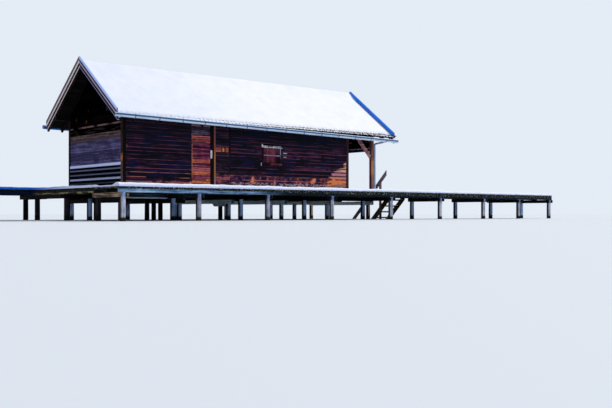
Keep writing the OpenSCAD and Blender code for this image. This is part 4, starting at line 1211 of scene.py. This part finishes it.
# Snow on the decks and the treads: a low bank that the wind has laid along the open edges, a
# thin even cover behind it, dirty at the walkway's edge, blue where the pier's is in full shade.
def deck_snow(name, box, near, far, cells, height_at, seed, finish, hang=0.0):
    """Snow over a flat deck, short of its box by (x, y) at either end. hang is how far it may sag
    over the front edge at the left end."""
    low, high = box[0] + Vector((*near, 0)), box[1] - Vector((*far, 0))

    def surface(u, w):
        x, y = low[0] + u * (high[0] - low[0]), low[1] + (w ** 1.8 if hang else w) * (high[1] - low[1])
        rough = 0.5 + 0.5 * wander(x * 2.2, y * 2.2, seed)
        return x, y, high[2] + height_at(x, y) * (0.7 + 0.3 * rough) + 0.008 * wander(x * 14, y * 14, seed)

    bm = bmesh.new()
    sheet(bm, *cells, surface)
    for v in rim_of(bm):
        v.co.z = high[2] - 0.004
        if hang and v.co.y < low[1] + 0.001:
            sag = max(0.0, wander(v.co.x * 3.1, 0.5, seed) + 0.9 * wander(v.co.x * 12.0, 0.2, seed))
            v.co.z -= hang * sag * min(1.0, max(0.15, 0.3 - v.co.x * 0.09))
            v.co.y -= 0.012
    piece(name, bm, None, "snow_on_tiles", finish, smooth=True)


def bank(from_edge):
    """The low bank near an edge that the snow is blown up to."""
    return 0.03 + 0.08 * math.exp(-((from_edge - 0.15) / 0.2) ** 2)


walk_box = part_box("walkway_deck")


def walkway_snow(x, y):
    """How deep the snow lies on the walkway, with its bank along the front edge."""
    from_edge = y - walk_box[0].y
    lip = min(1.0, from_edge / 0.05) ** 0.5 if from_edge > 0 else 0.0
    return 0.02 + lip * (0.026 + 0.105 * math.exp(-((from_edge - 0.12) / 0.22) ** 2))


edge_snow = mossy_above(snow_finish("trodden_edge_snow", "#E4EAF8", "#F4F6FC", "#BCC8F0"), 1.157, 1.185,
                        "#141C1C", "#6A6830", "#A8B6DA")
shaded_snow = snow_finish("shaded_snow", "#C8D2F6", "#E2E8FF", "#DCE4FF")
shaded_snow.lay("#1C76F8", (shaded_snow.facing("Y"), -0.15, -0.4), ("X", -8.6, -9.9), ("Y", 2.0, 2.15))
shaded_snow.lay("#4E86F0", (shaded_snow.facing("X"), -0.15, -0.4), ("Y", -0.8, 2.6))
deck_snow("walkway_snow", walk_box, (0.01, 0.004), (0.01, 0.004), (900, 24), walkway_snow, 3.0, edge_snow,
          hang=0.024)
deck_snow("access_pier_snow", pier_box, (0.01, 0.01), (0.01, 0.01), (150, 36),
          lambda x, y: bank(y - pier_box[0].y), 5.0, shaded_snow)
deck_snow("gable_deck_snow", ends[0], (0.01, 0), (0.03, 0), (24, 84),
          lambda x, y: bank(x - ends[0][0].x), 6.0, shaded_snow)
deck_snow("porch_deck_snow", ends[1], (0.02, 0), (0.01, 0.01), (24, 60), lambda x, y: 0.02, 7.0, snow)
for step, tread in enumerate(solids_of("stair_treads")):
    deck_snow(f"stair_tread_snow_{step + 1}", extent(tread), (0.01, 0.01), (0.01, 0.03), (24, 6),
              lambda x, y: 0.025, 8.0 + step, snow)
    tread.free()
